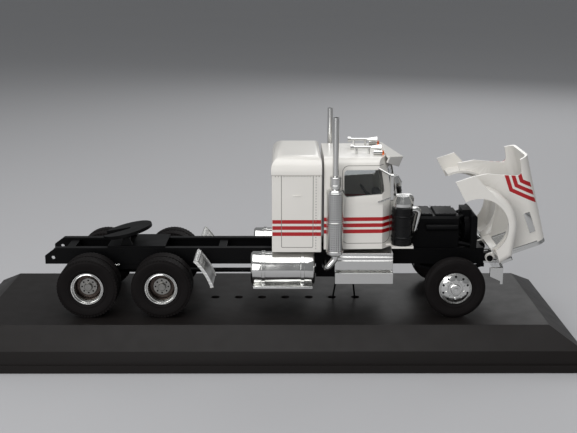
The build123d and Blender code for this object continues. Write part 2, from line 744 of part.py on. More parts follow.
# Quarter mudguards ahead of the drive wheels, each on an arm from the rail
GUARD_X = -48.0
GUARD_Z = 5.0
GUARD_RADIUS = 28.4
GUARD_THICK = 0.9
GUARD_TOP_ANGLE = 46.0
GUARD_LOW_ANGLE = 17.5
GUARD_INNER = 11.0
GUARD_OUTER = 28.0
GUARD_RIM = 0.5
GUARD_ARM = 1.6
GUARD_ARM_ANGLE = 43.0
GUARD_ARM_INSET = 2.0


def guard_point(radius, angle):
    turn = math.radians(angle)
    return (GUARD_X + radius * math.cos(turn), GUARD_Z + radius * math.sin(turn))


def guard_face(inner, outer, low_angle, high_angle):
    middle = (low_angle + high_angle) / 2
    near = ThreePointArc(*[guard_point(inner, a) for a in (low_angle, middle, high_angle)])
    far = ThreePointArc(*[guard_point(outer, a) for a in (high_angle, middle, low_angle)])
    return make_face(Curve() + near + far + Line(near @ 1, far @ 0) + Line(far @ 1, near @ 0))


def make_mudguard():
    under = GUARD_RADIUS - GUARD_THICK
    sheet = guard_face(under, GUARD_RADIUS, GUARD_LOW_ANGLE, GUARD_TOP_ANGLE)
    rim = guard_face(under, GUARD_RADIUS + GUARD_RIM, GUARD_LOW_ANGLE, GUARD_TOP_ANGLE)
    guard = slab(sheet, GUARD_INNER, GUARD_OUTER)
    for edge in (GUARD_INNER, GUARD_OUTER - GUARD_RIM):
        guard += slab(rim, edge, edge + GUARD_RIM)
    x, z = guard_point(GUARD_RADIUS - GUARD_THICK / 2, GUARD_ARM_ANGLE)
    top = min(z + GUARD_ARM / 2, RAIL_TOP)
    half = GUARD_ARM / 2
    tip = GUARD_OUTER - GUARD_ARM_INSET
    return guard + block(x - half, x + half, FRAME_HALF_WIDTH, tip, top - GUARD_ARM, top)


# Fuel tanks: polished drums on brackets, with two straps and a step along the outer foot
TANK_REAR_X = -5.0
TANK_FRONT_X = 21.9
TANK_RADIUS = 7.1
TANK_Y = 20.0
TANK_Z = 19.8
TANK_EDGE = 0.7
STRAP_RISE = 0.3
STRAP_WIDTH = 1.5
STRAP_INSET = 5.2
TANK_STEP_HEIGHT = 1.0
TANK_STEP_DEPTH = 4.4
TANK_STEP_OUTER = 27.4
TANK_STEP_Z = 12.8
TANK_STEP_INSET = 1.0
TANK_STEP_HANGER = 2.0
BRACKET_HALF = 1.2


def make_tank():
    tank = bar((TANK_REAR_X, TANK_Y, TANK_Z), (TANK_FRONT_X, TANK_Y, TANK_Z), TANK_RADIUS)
    tank = chamfer(tank.edges().filter_by(GeomType.CIRCLE), TANK_EDGE)
    y0 = TANK_STEP_OUTER - TANK_STEP_DEPTH
    step_top = TANK_STEP_Z + TANK_STEP_HEIGHT
    step_rear = TANK_REAR_X + TANK_STEP_INSET
    step_front = TANK_FRONT_X - TANK_STEP_INSET
    tank += block(step_rear, step_front, y0, TANK_STEP_OUTER, TANK_STEP_Z, step_top)
    for x in (TANK_REAR_X + STRAP_INSET, TANK_FRONT_X - STRAP_INSET):
        x0 = x - STRAP_WIDTH / 2
        x1 = x + STRAP_WIDTH / 2
        tank += bar((x0, TANK_Y, TANK_Z), (x1, TANK_Y, TANK_Z), TANK_RADIUS + STRAP_RISE)
        tank += block(x0, x1, y0, y0 + TANK_STEP_HANGER, TANK_STEP_Z, TANK_Z - TANK_RADIUS / 2)
        tank += block(x0, x1, FRAME_HALF_WIDTH, TANK_Y, TANK_Z - BRACKET_HALF, TANK_Z + BRACKET_HALF)
    return tank


# Step boxes under the doors: an upper tread, a lower tray with a raised rim
BOX_REAR_X = 30.2
BOX_FRONT_X = 54.6
BOX_INNER = 12.0
BOX_BOTTOM = 14.8
BOX_TREAD = 19.6
BOX_TOP = 27.4
BOX_UPPER_OUTER = 24.6
BOX_LOWER_OUTER = 27.2
TRAY_RIM = 0.8
TRAY_DEPTH = 1.2
BOX_RIDGE = 0.35
RIDGE_DROPS = (1.4, 3.0)
BOX_BRACKET_INSET = 4.0
BOX_BRACKET_HALF = 2.0


def make_step_box():
    box = block(BOX_REAR_X, BOX_FRONT_X, BOX_INNER, BOX_UPPER_OUTER, BOX_BOTTOM, BOX_TOP)
    box += block(BOX_REAR_X, BOX_FRONT_X, BOX_INNER, BOX_LOWER_OUTER, BOX_BOTTOM, BOX_TREAD)
    box -= block(
        BOX_REAR_X + TRAY_RIM,
        BOX_FRONT_X - TRAY_RIM,
        BOX_UPPER_OUTER,
        BOX_LOWER_OUTER - TRAY_RIM,
        BOX_TREAD - TRAY_DEPTH,
        BOX_TREAD,
    )
    crest = BOX_UPPER_OUTER + BOX_RIDGE
    for drop in RIDGE_DROPS:
        z = BOX_TOP - drop
        box += block(BOX_REAR_X, BOX_FRONT_X, BOX_UPPER_OUTER, crest, z - BOX_RIDGE, z)
    z = (RAIL_BOTTOM + RAIL_TOP) / 2
    for x in (BOX_REAR_X + BOX_BRACKET_INSET, BOX_FRONT_X - BOX_BRACKET_INSET):
        x0 = x - BRACKET_HALF
        x1 = x + BRACKET_HALF
        box += block(x0, x1, FRAME_HALF_WIDTH, BOX_INNER, z - BOX_BRACKET_HALF, z + BOX_BRACKET_HALF)
    return box


# Exhaust stacks: elbow out from the frame, shielded silencer, clamp and tail pipe
STACK_X = 30.0
SHIELD_RADIUS = 3.5
SHIELD_EDGE = 0.6
STACK_GAP = 0.3
STACK_Y = CAB_REAR_HALF + STACK_GAP + SHIELD_RADIUS
SHIELD_BOTTOM = BOX_TOP + STACK_GAP
SHIELD_TOP = 55.4
NECK_RADIUS = 1.7
CLAMP_RADIUS = 2.2
CLAMP_BOTTOM = 56.4
CLAMP_TOP = 60.9
TAILPIPE_RADIUS = 1.25
TAILPIPE_WALL = 0.35
TAILPIPE_BORE_DEPTH = 4.0
TAILPIPE_TOPS = {"right": 85.0, "left": 81.4}
ELBOW_RADIUS = 1.4
ELBOW_BEND = 1.55
ELBOW_LEAD = 2.0
ELBOW_X = 26.6
ELBOW_Z = 21.6
STANDOFF_HALF = 0.8
STANDOFF_LEVELS = (34.0, 52.0)


def make_stack(pipe_top):
    """One stack, its tail pipe pushed in to end at the given height."""

    def upright(low, high, radius):
        return bar((STACK_X, STACK_Y, low), (STACK_X, STACK_Y, high), radius)

    stack = upright(SHIELD_BOTTOM, SHIELD_TOP, SHIELD_RADIUS)
    stack = chamfer(stack.edges().filter_by(GeomType.CIRCLE), SHIELD_EDGE)
    stack += upright(SHIELD_TOP, CLAMP_BOTTOM, NECK_RADIUS)
    stack += upright(CLAMP_BOTTOM, CLAMP_TOP, CLAMP_RADIUS)
    stack += upright(CLAMP_TOP, pipe_top, TAILPIPE_RADIUS)
    stack -= upright(pipe_top - TAILPIPE_BORE_DEPTH, pipe_top, TAILPIPE_RADIUS - TAILPIPE_WALL)
    elbow = (
        (STACK_X, STACK_Y, SHIELD_BOTTOM + ELBOW_LEAD),
        (STACK_X, STACK_Y, SHIELD_BOTTOM - ELBOW_LEAD),
        (ELBOW_X, STACK_Y, ELBOW_Z),
        (ELBOW_X, FRAME_HALF_WIDTH, ELBOW_Z),
    )
    stack += pipe(elbow, ELBOW_RADIUS, ELBOW_BEND)
    half = STANDOFF_HALF
    for z in STANDOFF_LEVELS:
        stack += block(STACK_X - half, STACK_X + half, CAB_REAR_HALF, STACK_Y, z - half, z + half)
    return stack


for side, sign in SIDES:
    parts["mudguard_" + side] = on_side(make_mudguard(), sign)
    parts["fuel_tank_" + side] = on_side(make_tank(), sign)
    parts["step_box_" + side] = on_side(make_step_box(), sign)
    parts["exhaust_stack_" + side] = on_side(make_stack(TAILPIPE_TOPS[side]), sign)

# Air cleaners on the cab's side ledges: banded can with a raised rain cap on posts
CLEANER_X = 58.4
CLEANER_Y = 21.0
CLEANER_RADIUS = 4.5
LEDGE_TOP = 30.6
LEDGE_THICK = 0.8
CLEANER_TOP = 46.4
BAND_RISE = 0.2
BAND_WIDTH = 0.8
BAND_SHARES = (0.12, 0.5, 0.88)
CAP_TOP = 51.4
CAP_GAP = 0.9
CAP_BRIM = 1.2
CAP_CROWN_RADIUS = 2.8
CAP_POST = 0.5
CAP_POST_REACH = 2.6


def make_air_cleaner():
    low = Vector(CLEANER_X, CLEANER_Y, LEDGE_TOP)
    rise = Vector(0, 0, CLEANER_TOP - LEDGE_TOP)
    can = bar(low, low + rise, CLEANER_RADIUS - BAND_RISE)
    half = Vector(0, 0, BAND_WIDTH / 2)
    for share in BAND_SHARES:
        middle = low + rise * share
        can += bar(middle - half, middle + half, CLEANER_RADIUS)
    return can


def make_air_cleaner_cap():
    under = CLEANER_TOP + CAP_GAP
    brim = under + CAP_BRIM
    profile = make_face(
        Polyline(
            (0, under),
            (CLEANER_RADIUS, under),
            (CLEANER_RADIUS, brim),
            (CAP_CROWN_RADIUS, CAP_TOP),
            (0, CAP_TOP),
            close=True,
        )
    )
    cap = Pos(CLEANER_X, CLEANER_Y, 0) * revolve(Plane.XZ * profile, Axis.Z)
    for sign in (-1, 1):
        x = CLEANER_X + sign * CAP_POST_REACH
        cap += bar((x, CLEANER_Y, CLEANER_TOP), (x, CLEANER_Y, under), CAP_POST)
    return cap


for side, sign in SIDES:
    parts["air_cleaner_" + side] = on_side(make_air_cleaner(), sign)
cap = make_air_cleaner_cap()
parts["air_cleaner_caps"] = cap + mirrored(cap)

# Intake pipes from the air cleaners, in through the hood's side notches and down to the block
INTAKE_RADIUS = 1.3
INTAKE_BEND = 1.5
INTAKE_X = 57.8
INTAKE_Y = 12.6
INTAKE_Z = 43.5
INTAKE_DROP_X = 66.6
INTAKE_END_X = 64.8
INTAKE_END_Y = 11.6
INTAKE_LOW_Z = 33.4


def make_intake_pipe():
    start = CLEANER_Y - CLEANER_RADIUS
    points = (
        (INTAKE_X, start, INTAKE_Z),
        (INTAKE_X, INTAKE_Y, INTAKE_Z),
        (INTAKE_DROP_X, INTAKE_Y, INTAKE_Z),
        (INTAKE_END_X, INTAKE_END_Y, INTAKE_LOW_Z),
        (INTAKE_END_X, ENGINE_HALF, INTAKE_LOW_Z),
    )
    return pipe(points, INTAKE_RADIUS, INTAKE_BEND)


intake = make_intake_pipe()
parts["intake_pipes"] = intake + mirrored(intake)

# Hinge brackets on the rail ends, each with a pin out to the hood's arm
BRACKET_NOSE = 1.7
PIN_HEAD_RADIUS = 1.3
PIN_HEAD_LENGTH = 0.6
ARM_GAP = 0.25


def make_hinge_bracket():
    inner = FRAME_HALF_WIDTH - RAIL_FLANGE
    cheek = side_face(
        (RAIL_FRONT_X, HINGE_Z - BRACKET_NOSE),
        (HINGE_X, HINGE_Z - BRACKET_NOSE),
        (HINGE_X, HINGE_Z + BRACKET_NOSE),
        (RAIL_FRONT_X, HINGE_Z + BRACKET_NOSE),
    )
    cheek += Pos(HINGE_X, HINGE_Z) * Circle(BRACKET_NOSE)
    bracket = slab(cheek, inner, FRAME_HALF_WIDTH)
    head = FRAME_HALF_WIDTH + HINGE_ARM_WIDTH + 2 * ARM_GAP
    tip = head + PIN_HEAD_LENGTH
    bracket += bar((HINGE_X, inner, HINGE_Z), (HINGE_X, head, HINGE_Z), HINGE_PIN_RADIUS)
    return bracket + bar((HINGE_X, head, HINGE_Z), (HINGE_X, tip, HINGE_Z), PIN_HEAD_RADIUS)


bracket = make_hinge_bracket()
parts["hinge_brackets"] = bracket + mirrored(bracket)

# Bumper: a bowed plate with returned ends, on two stubs from the brackets
BUMPER_LEAD = 4.6
BUMPER_FRONT_X = HINGE_X + BUMPER_LEAD
BUMPER_SWEEP = 1.8
RETURN_LENGTH = 5.5
RETURN_FRONT_LOW = 15.7
RETURN_REAR_LOW = 18.0
BUMPER_HALF = 27.0
BUMPER_BOTTOM = 14.6
BUMPER_TOP = 21.8
BUMPER_THICK = 1.2
STUB_HEIGHT = 1.2
STUB_INSET = 1.0


def make_bumper():
    end = BUMPER_FRONT_X - BUMPER_SWEEP
    front = ThreePointArc((end, -BUMPER_HALF), (BUMPER_FRONT_X, 0), (end, BUMPER_HALF))
    back = ThreePointArc(
        (end - BUMPER_THICK, BUMPER_HALF),
        (BUMPER_FRONT_X - BUMPER_THICK, 0),
        (end - BUMPER_THICK, -BUMPER_HALF),
    )
    plan = make_face(Curve() + front + back + Line(front @ 1, back @ 0) + Line(back @ 1, front @ 0))
    bumper = plan_slab(plan, BUMPER_BOTTOM, BUMPER_TOP)
    joint = end - BUMPER_THICK / 2
    wing = side_face(
        (joint, RETURN_FRONT_LOW),
        (joint, BUMPER_TOP),
        (end - RETURN_LENGTH, BUMPER_TOP),
        (end - RETURN_LENGTH, RETURN_REAR_LOW),
    )
    inner = FRAME_HALF_WIDTH - RAIL_FLANGE
    for sign in (-1, 1):
        low = HINGE_Z - BRACKET_NOSE - STUB_HEIGHT
        high = HINGE_Z - BRACKET_NOSE
        outer = FRAME_HALF_WIDTH - STUB_INSET
        stub = block(RAIL_FRONT_X, BUMPER_FRONT_X - BUMPER_THICK, inner, outer, low, high)
        bumper += on_side(stub, sign)
        bumper += on_side(slab(wing, BUMPER_HALF - BUMPER_THICK, BUMPER_HALF), sign)
    return bumper


parts["bumper"] = make_bumper()

# Hood: drawn closed, then tilted forward about its hinge
HOOD_SKIRT_Z = 24.0
HOOD_REAR_EDGE = 6.0
HOOD_FRONT_EDGE = 5.0
HOOD_AXIS = Axis((HINGE_X, 0, HINGE_Z), (0, 1, 0))
HOOD_SWEEP = 2.0
# X ahead of the hood's rear edge, Z
NOTCH_LINE = (
    (0.6, 46.0),
    (7.1, 44.9),
    (4.1, 37.9),
    (1.1, 31.3),
    (0.0, HOOD_SKIRT_Z),
)
FENDER_TOP_SETBACK = 1.6
FENDER_TOP_Z = 29.5
FENDER_LOW_SETBACK = 0.1
FENDER_LOW_Z = 23.6
FENDER_FRONT_TOP = (HOOD_FRONT_X - FENDER_TOP_SETBACK, FENDER_TOP_Z)
FENDER_FRONT_LOW = (HOOD_FRONT_X - FENDER_LOW_SETBACK, FENDER_LOW_Z)
FENDER_REAR_LOW_Z = 18.2
FENDER_EDGE = 2.6
TAIL_TIP_REACH = 2.8
TAIL_TIP_Z = 16.8
TAIL_TOP_REACH = 2.6
TAIL_TOP_Z = 25.2
TAIL_FRONT_SETBACK = 13.7
TAIL_FRONT_Z = 17.9
TAIL_TIP = (HOOD_REAR_X - TAIL_TIP_REACH, TAIL_TIP_Z)
TAIL_TOP = (HOOD_REAR_X - TAIL_TOP_REACH, TAIL_TOP_Z)
TAIL_FRONT = (ARCH_X - TAIL_FRONT_SETBACK, TAIL_FRONT_Z)
FENDER_INNER = 13.6
ARM_NECK = 0.6
ARM_SHIM = 0.3
ARM_LAND = 2.0
VALANCE_THICK = 1.1
VALANCE_LOW = 23.9
GRILLE_BOTTOM = 25.6
GRILLE_THICK = 1.5
GRILLE_FRAME = 1.5
GRILLE_BAR = 0.45
GRILLE_BAR_COUNT = 14
GRILLE_BAR_INSET = 0.35
LAMP_WIDTH = 7.6
LAMP_HEIGHT = 4.4
LAMP_DEPTH = 1.1
LAMP_Y = 20.4
LAMP_CORNER = 0.8


def hood_section(half, top, edge):
    """The hood's cross-section, drawn in Y and Z."""
    outline = make_face(
        Polyline((-half, HOOD_SKIRT_Z), (half, HOOD_SKIRT_Z), (half, top), (-half, top), close=True)
    )
    return fillet(outline.vertices().group_by(Axis.Y)[-1], edge)


def hood_form(inset):
    rear = hood_section(HOOD_REAR_HALF - inset, HOOD_REAR_TOP - inset, HOOD_REAR_EDGE - inset)
    front = hood_section(HOOD_FRONT_HALF - inset, HOOD_FRONT_TOP - inset, HOOD_FRONT_EDGE - inset)
    return loft(
        [Plane.YZ.offset(HOOD_REAR_X) * rear, Plane.YZ.offset(HOOD_FRONT_X) * front],
        ruled=True,
    )


def tangent_point(point, radius, side):
    """Where a line from a point in the side view touches a circle about the arch's centre."""
    dx = point[0] - ARCH_X
    dz = point[1] - ARCH_Z
    turn = math.atan2(dz, dx) + side * math.acos(radius / math.hypot(dx, dz))
    return (ARCH_X + radius * math.cos(turn), ARCH_Z + radius * math.sin(turn))


def fender_face(inset):
    """The fender's side view: round over the wheel, sloping to its front."""
    radius = ARCH_RADIUS + FENDER_BAND
    touch = tangent_point(FENDER_FRONT_TOP, radius, 1)
    nose = side_face((ARCH_X, ARCH_Z), touch, FENDER_FRONT_TOP, FENDER_FRONT_LOW)
    face = Pos(ARCH_X, ARCH_Z) * Circle(radius) + nose
    return offset(face, -inset, kind=Kind.INTERSECTION) if inset else face


def below_fender():
    """What the fender lacks under its rear and front ends."""
    low = FENDER_REAR_LOW_Z - 2 * ARCH_RADIUS
    front = FENDER_FRONT_LOW[1]
    reach = 3 * ARCH_RADIUS
    rear_cut = side_face(
        (ARCH_X - reach, low),
        (ARCH_X, low),
        (ARCH_X, FENDER_REAR_LOW_Z),
        (ARCH_X - reach, FENDER_REAR_LOW_Z),
    )
    front_cut = side_face((ARCH_X, low), (ARCH_X + reach, low), (ARCH_X + reach, front), (ARCH_X, front))
    return rear_cut + front_cut


def fender_body(inset):
    """The fender as a solid with its outer edge rounded, drawn in by an even inset."""
    body = slab(fender_face(inset) - below_fender(), FENDER_INNER - inset, FENDER_OUTER - inset)
    rim = body.faces().sort_by(Axis.Y)[-1].edges()
    upper = rim.filter_by(lambda edge: edge.center().Z > FENDER_FRONT_LOW[1] + FENDER_WALL)
    return fillet(upper, FENDER_EDGE - inset)


def make_fender():
    arch = Pos(ARCH_X, ARCH_Z) * Circle(ARCH_RADIUS)
    fender = fender_body(0) - fender_body(FENDER_WALL) - slab(arch, FENDER_INNER, FENDER_OUTER)
    touch = tangent_point(TAIL_TOP, ARCH_RADIUS + FENDER_BAND - FENDER_EDGE, -1)
    tail = side_face((ARCH_X, ARCH_Z), touch, TAIL_TOP, TAIL_TIP, TAIL_FRONT) - arch
    return fender + slab(tail, FENDER_OUTER - FENDER_WALL, FENDER_OUTER)


def make_hinge_arm():
    rear = HINGE_X - HINGE_EYE_RADIUS
    neck = HINGE_X + ARM_NECK
    outline = side_face(
        (rear, HINGE_Z),
        (neck, HINGE_Z + ARM_NECK),
        (neck, GRILLE_BOTTOM - ARM_SHIM),
        (HOOD_FRONT_X, GRILLE_BOTTOM - ARM_SHIM),
        (HOOD_FRONT_X, GRILLE_BOTTOM + ARM_LAND),
        (rear, GRILLE_BOTTOM + ARM_LAND),
    )
    outline += Pos(HINGE_X, HINGE_Z) * Circle(HINGE_EYE_RADIUS)
    outline -= Pos(HINGE_X, HINGE_Z) * Circle(HINGE_PIN_RADIUS + HINGE_CLEARANCE)
    start = FRAME_HALF_WIDTH + ARM_GAP
    return slab(outline, start, start + HINGE_ARM_WIDTH)


def hood_notch():
    """The side view of what the hood's sides lack behind, beside the air cleaners."""
    line = [(HOOD_REAR_X + ahead, z) for ahead, z in NOTCH_LINE]
    rear = HOOD_REAR_X - HOOD_WALL
    notch = side_face(*line, (rear, line[-1][1]), (rear, line[0][1]))
    deep = notch.vertices().sort_by(Axis.X)[-1]
    return fillet([deep], HOOD_SWEEP)


def make_hood():
    hood = hood_form(0) - hood_form(HOOD_WALL)
    hood -= slab(hood_notch(), -FENDER_OUTER, FENDER_OUTER)
    arch = Pos(ARCH_X, ARCH_Z) * Circle(ARCH_RADIUS + FENDER_BAND - FENDER_WALL)
    hood -= slab(arch, -FENDER_OUTER, FENDER_OUTER)
    half = HOOD_FRONT_HALF
    rear = HOOD_FRONT_X - VALANCE_THICK
    hood += block(rear, HOOD_FRONT_X, -half, half, VALANCE_LOW, GRILLE_BOTTOM + GRILLE_FRAME)
    for sign in (-1, 1):
        hood += on_side(make_fender(), sign)
        hood += on_side(make_hinge_arm(), sign)
    return hood


def make_grille():
    half = HOOD_FRONT_HALF
    top = HOOD_FRONT_TOP
    outline = side_face((-half, GRILLE_BOTTOM), (half, GRILLE_BOTTOM), (half, top), (-half, top))
    outline = fillet(outline.vertices().group_by(Axis.Y)[-1], HOOD_FRONT_EDGE)
    opening = offset(outline, -GRILLE_FRAME)
    grille = front_slab(outline - opening, HOOD_FRONT_X, HOOD_FRONT_X + GRILLE_THICK)
    pitch = 2 * (half - GRILLE_FRAME) / (GRILLE_BAR_COUNT + 1)
    bars = Sketch()
    for index in range(GRILLE_BAR_COUNT):
        y = -half + GRILLE_FRAME + (index + 1) * pitch
        bars += Pos(y, (GRILLE_BOTTOM + top) / 2) * Rectangle(GRILLE_BAR, top - GRILLE_BOTTOM)
    bars = bars & offset(outline, -GRILLE_FRAME / 2)
    back = HOOD_FRONT_X + GRILLE_BAR_INSET
    return grille + front_slab(bars, back, HOOD_FRONT_X + GRILLE_THICK - GRILLE_BAR_INSET)


def make_headlamp():
    run = Vector(FENDER_FRONT_LOW[0] - FENDER_FRONT_TOP[0], 0, FENDER_FRONT_LOW[1] - FENDER_FRONT_TOP[1])
    middle_x = (FENDER_FRONT_LOW[0] + FENDER_FRONT_TOP[0]) / 2
    middle_z = (FENDER_FRONT_LOW[1] + FENDER_FRONT_TOP[1]) / 2
    plane = Plane(origin=(middle_x, LAMP_Y, middle_z), x_dir=(0, 1, 0), z_dir=(-run.Z, 0, run.X))
    return extrude(plane * RectangleRounded(LAMP_WIDTH, LAMP_HEIGHT, LAMP_CORNER), LAMP_DEPTH)


closed_hood = {
    "hood_shell": make_hood(),
    "grille": make_grille(),
    "headlamps": make_headlamp() + mirrored(make_headlamp()),
}
for name, shape in closed_hood.items():
    parts[name] = shape.rotate(HOOD_AXIS, HOOD_OPEN_ANGLE)

# Cab: a hollow shell with a split screen, standing on pads with the sleeper behind it
WINDOW_LOW = 51.0
WINDOW_HIGH = 62.2
WINDOW_REAR_X = 33.9
WINDOW_FRONT_LOW_X = 50.9
WINDOW_FRONT_LOW_Z = 52.3
WINDOW_FRONT_HIGH_X = 49.4
WINDOW_EDGE = 1.6
SCREEN_LOW = 49.8
SCREEN_HIGH = 61.4
SCREEN_INNER = 0.7
SCREEN_OUTER = 15.6
SCREEN_OUTER_HIGH = 14.0
SCREEN_ROOM = 1.0
CUT_MARGIN = 2.0
GLASS_INSET = 0.35
GLASS_THICK = 0.5
LEDGE_INNER = CLEANER_Y - CLEANER_RADIUS
LEDGE_OUTER = CLEANER_Y + CLEANER_RADIUS
LEDGE_FRONT_X = CLEANER_X + CLEANER_RADIUS
ROOF_BROW_X = 51.0
ROOF_BROW_DROP = 1.9
ROOF_BROW_RUN = 4.8
LEDGE_HEEL = 4.0
LEDGE_HEEL_INSET = 2.0


def cab_plan(narrow, lean):
    """The cab's plan view, drawn in for its upper end."""
    half = (
        (CAB_REAR_X, CAB_REAR_HALF - narrow),
        (CAB_SHOULDER_X - lean / 2, CAB_SHOULDER_HALF - narrow),
        (CAB_PILLAR_X - lean, CAB_PILLAR_HALF - narrow),
        (CAB_NOSE_X - lean, 0),
    )
    other = [(x, -y) for x, y in reversed(half[:-1])]
    return make_face(Polyline(*half, *other, close=True))


def drawn_in(face, inset):
    return offset(face, -inset, kind=Kind.INTERSECTION) if inset else face


def cab_form(inset):
    """The cab's outer form, drawn in by an even inset."""
    lower = drawn_in(cab_plan(0, 0), inset)
    upper = drawn_in(cab_plan(CAB_TUMBLE, SCREEN_LEAN), inset)
    body = plan_slab(lower, CAB_BOTTOM, CAB_BELT)
    body += loft([Plane.XY.offset(CAB_BELT) * lower, Plane.XY.offset(CAB_TOP) * upper], ruled=True)
    front = make_face(
        Polyline(
            (-CAB_REAR_HALF, CAB_BOTTOM),
            (CAB_REAR_HALF, CAB_BOTTOM),
            (CAB_REAR_HALF, CAB_BELT),
            (CAB_REAR_HALF - CAB_TUMBLE, CAB_TOP),
            (CAB_TUMBLE - CAB_REAR_HALF, CAB_TOP),
            (-CAB_REAR_HALF, CAB_BELT),
            close=True,
        )
    )
    front = fillet(front.vertices().group_by(Axis.Y)[-1], CAB_ROOF_EDGE)
    side = side_face(
        (CAB_REAR_X, CAB_BOTTOM),
        (CAB_NOSE_X + SCREEN_ROOM, CAB_BOTTOM),
        (CAB_NOSE_X + SCREEN_ROOM, CAB_BELT + SCREEN_ROOM),
        (ROOF_BROW_X + ROOF_BROW_RUN, CAB_TOP - ROOF_BROW_DROP),
        (ROOF_BROW_X, CAB_TOP),
        (CAB_REAR_X, CAB_TOP),
    )
    body = body & front_slab(drawn_in(front, inset), CAB_REAR_X, CAB_NOSE_X + CUT_MARGIN)
    return body & slab(drawn_in(side, inset), -CAB_REAR_HALF, CAB_REAR_HALF)


def window_cutters():
    """Prisms through the side windows and the two screen panes."""
    window = side_face(
        (WINDOW_REAR_X, WINDOW_LOW),
        (WINDOW_FRONT_LOW_X, WINDOW_FRONT_LOW_Z),
        (WINDOW_FRONT_HIGH_X, WINDOW_HIGH),
        (WINDOW_REAR_X, WINDOW_HIGH),
    )
    window = fillet(window.vertices(), WINDOW_EDGE)
    cutters = slab(window, -2 * CAB_REAR_HALF, 2 * CAB_REAR_HALF)
    pane = make_face(
        Polyline(
            (SCREEN_INNER, SCREEN_LOW),
            (SCREEN_OUTER, SCREEN_LOW),
            (SCREEN_OUTER_HIGH, SCREEN_HIGH),
            (SCREEN_INNER, SCREEN_HIGH),
            close=True,
        )
    )
    pane = front_slab(pane, CAB_SHOULDER_X, CAB_NOSE_X + CUT_MARGIN)
    return cutters, pane + mirrored(pane)


side_cutter, screen_cutter = window_cutters()


def make_cab_shell():
    shell = cab_form(0) - cab_form(CAB_WALL) - side_cutter - screen_cutter
    for sign in (-1, 1):
        rear = CAB_PILLAR_X - CAB_WALL / 2
        under = LEDGE_TOP - LEDGE_THICK
        heel_outer = CAB_SHOULDER_HALF - LEDGE_HEEL_INSET
        ledge = block(rear, LEDGE_FRONT_X, LEDGE_INNER, LEDGE_OUTER, under, LEDGE_TOP)
        ledge += block(rear - LEDGE_HEEL, rear, LEDGE_INNER, heel_outer, under, LEDGE_TOP)
        shell += on_side(ledge, sign) - cab_form(CAB_WALL)
    return shell


def make_cab_glass():
    layer = cab_form(GLASS_INSET) - cab_form(GLASS_INSET + GLASS_THICK)
    return (layer & side_cutter) + (layer & screen_cutter)


parts["cab_shell"] = make_cab_shell()
parts["cab_glass"] = make_cab_glass()

# Cab inside: two seats, a dash on its console, the steering wheel on the left
FLOOR_Z = CAB_BOTTOM + CAB_WALL
SEAT_X = 30.5
SEAT_LENGTH = 8.0
SEAT_HALF_WIDTH = 3.8
SEAT_Y = 10.0
SEAT_TOP = 38.5
SEAT_BACK_TOP = 52.0
SEAT_BACK_THICK = 2.4
SEAT_BACK_LEAN = 1.0
SEAT_BACK_INSET = 0.4
DASH_REAR_X = 48.6
DASH_FRONT_X = 52.0
DASH_HALF = 15.0
DASH_LOW = 40.0
DASH_TOP = 47.2
DASH_EDGE = 0.8
CONSOLE_HALF = 3.0
STEERING_X = 45.0
STEERING_Z = 46.6
STEERING_RADIUS = 3.6
STEERING_GRIP = 0.4
STEERING_RAKE = 35.0
SPOKE_WIDTH = 0.7
SPOKE_THICK = 0.5
COLUMN_RADIUS = 0.5


def make_cab_interior():
    inside = block(DASH_REAR_X, DASH_FRONT_X, -DASH_HALF, DASH_HALF, DASH_LOW, DASH_TOP)
    inside = chamfer(inside.edges().filter_by(Axis.Y).group_by(Axis.Z)[-1], DASH_EDGE)
    inside += block(DASH_REAR_X, DASH_FRONT_X, -CONSOLE_HALF, CONSOLE_HALF, FLOOR_Z, DASH_LOW)
    for sign in (-1, 1):
        y0 = SEAT_Y - SEAT_HALF_WIDTH
        y1 = SEAT_Y + SEAT_HALF_WIDTH
        seat = block(SEAT_X, SEAT_X + SEAT_LENGTH, y0, y1, FLOOR_Z, SEAT_TOP)
        back = side_face(
            (SEAT_X, SEAT_TOP),
            (SEAT_X + SEAT_BACK_THICK, SEAT_TOP),
            (SEAT_X - SEAT_BACK_LEAN + SEAT_BACK_THICK / 2, SEAT_BACK_TOP),
            (SEAT_X - SEAT_BACK_LEAN, SEAT_BACK_TOP),
        )
        seat += slab(back, y0 + SEAT_BACK_INSET, y1 - SEAT_BACK_INSET)
        inside += on_side(seat, sign)
    return inside


def make_steering_wheel():
    hub = Pos(STEERING_X, SEAT_Y, STEERING_Z) * Rot(0, 90 - STEERING_RAKE, 0)
    inner = STEERING_RADIUS - STEERING_GRIP
    outer = STEERING_RADIUS + STEERING_GRIP
    wheel = hub * (Cylinder(outer, 2 * STEERING_GRIP) - Cylinder(inner, 2 * STEERING_GRIP))
    wheel += hub * Box(2 * STEERING_RADIUS, SPOKE_WIDTH, SPOKE_THICK)
    wheel += hub * Box(SPOKE_WIDTH, 2 * STEERING_RADIUS, SPOKE_THICK)
    end_x = DASH_REAR_X - COLUMN_RADIUS
    drop = (end_x - STEERING_X) * math.tan(math.radians(STEERING_RAKE))
    return wheel + bar((STEERING_X, SEAT_Y, STEERING_Z), (end_x, SEAT_Y, STEERING_Z - drop), COLUMN_RADIUS)


parts["cab_interior"] = make_cab_interior()
parts["steering_wheel"] = make_steering_wheel()

# Sleeper: a solid box with a rounded roof cap that laps it at the seam
SLEEPER_REAR_EDGE = 5.0
SLEEPER_FRONT_EDGE = 2.5
SLEEPER_ROOF_LAP = 0.25
SLEEPER_FRONT_X = CAB_REAR_X - SLEEPER_GAP


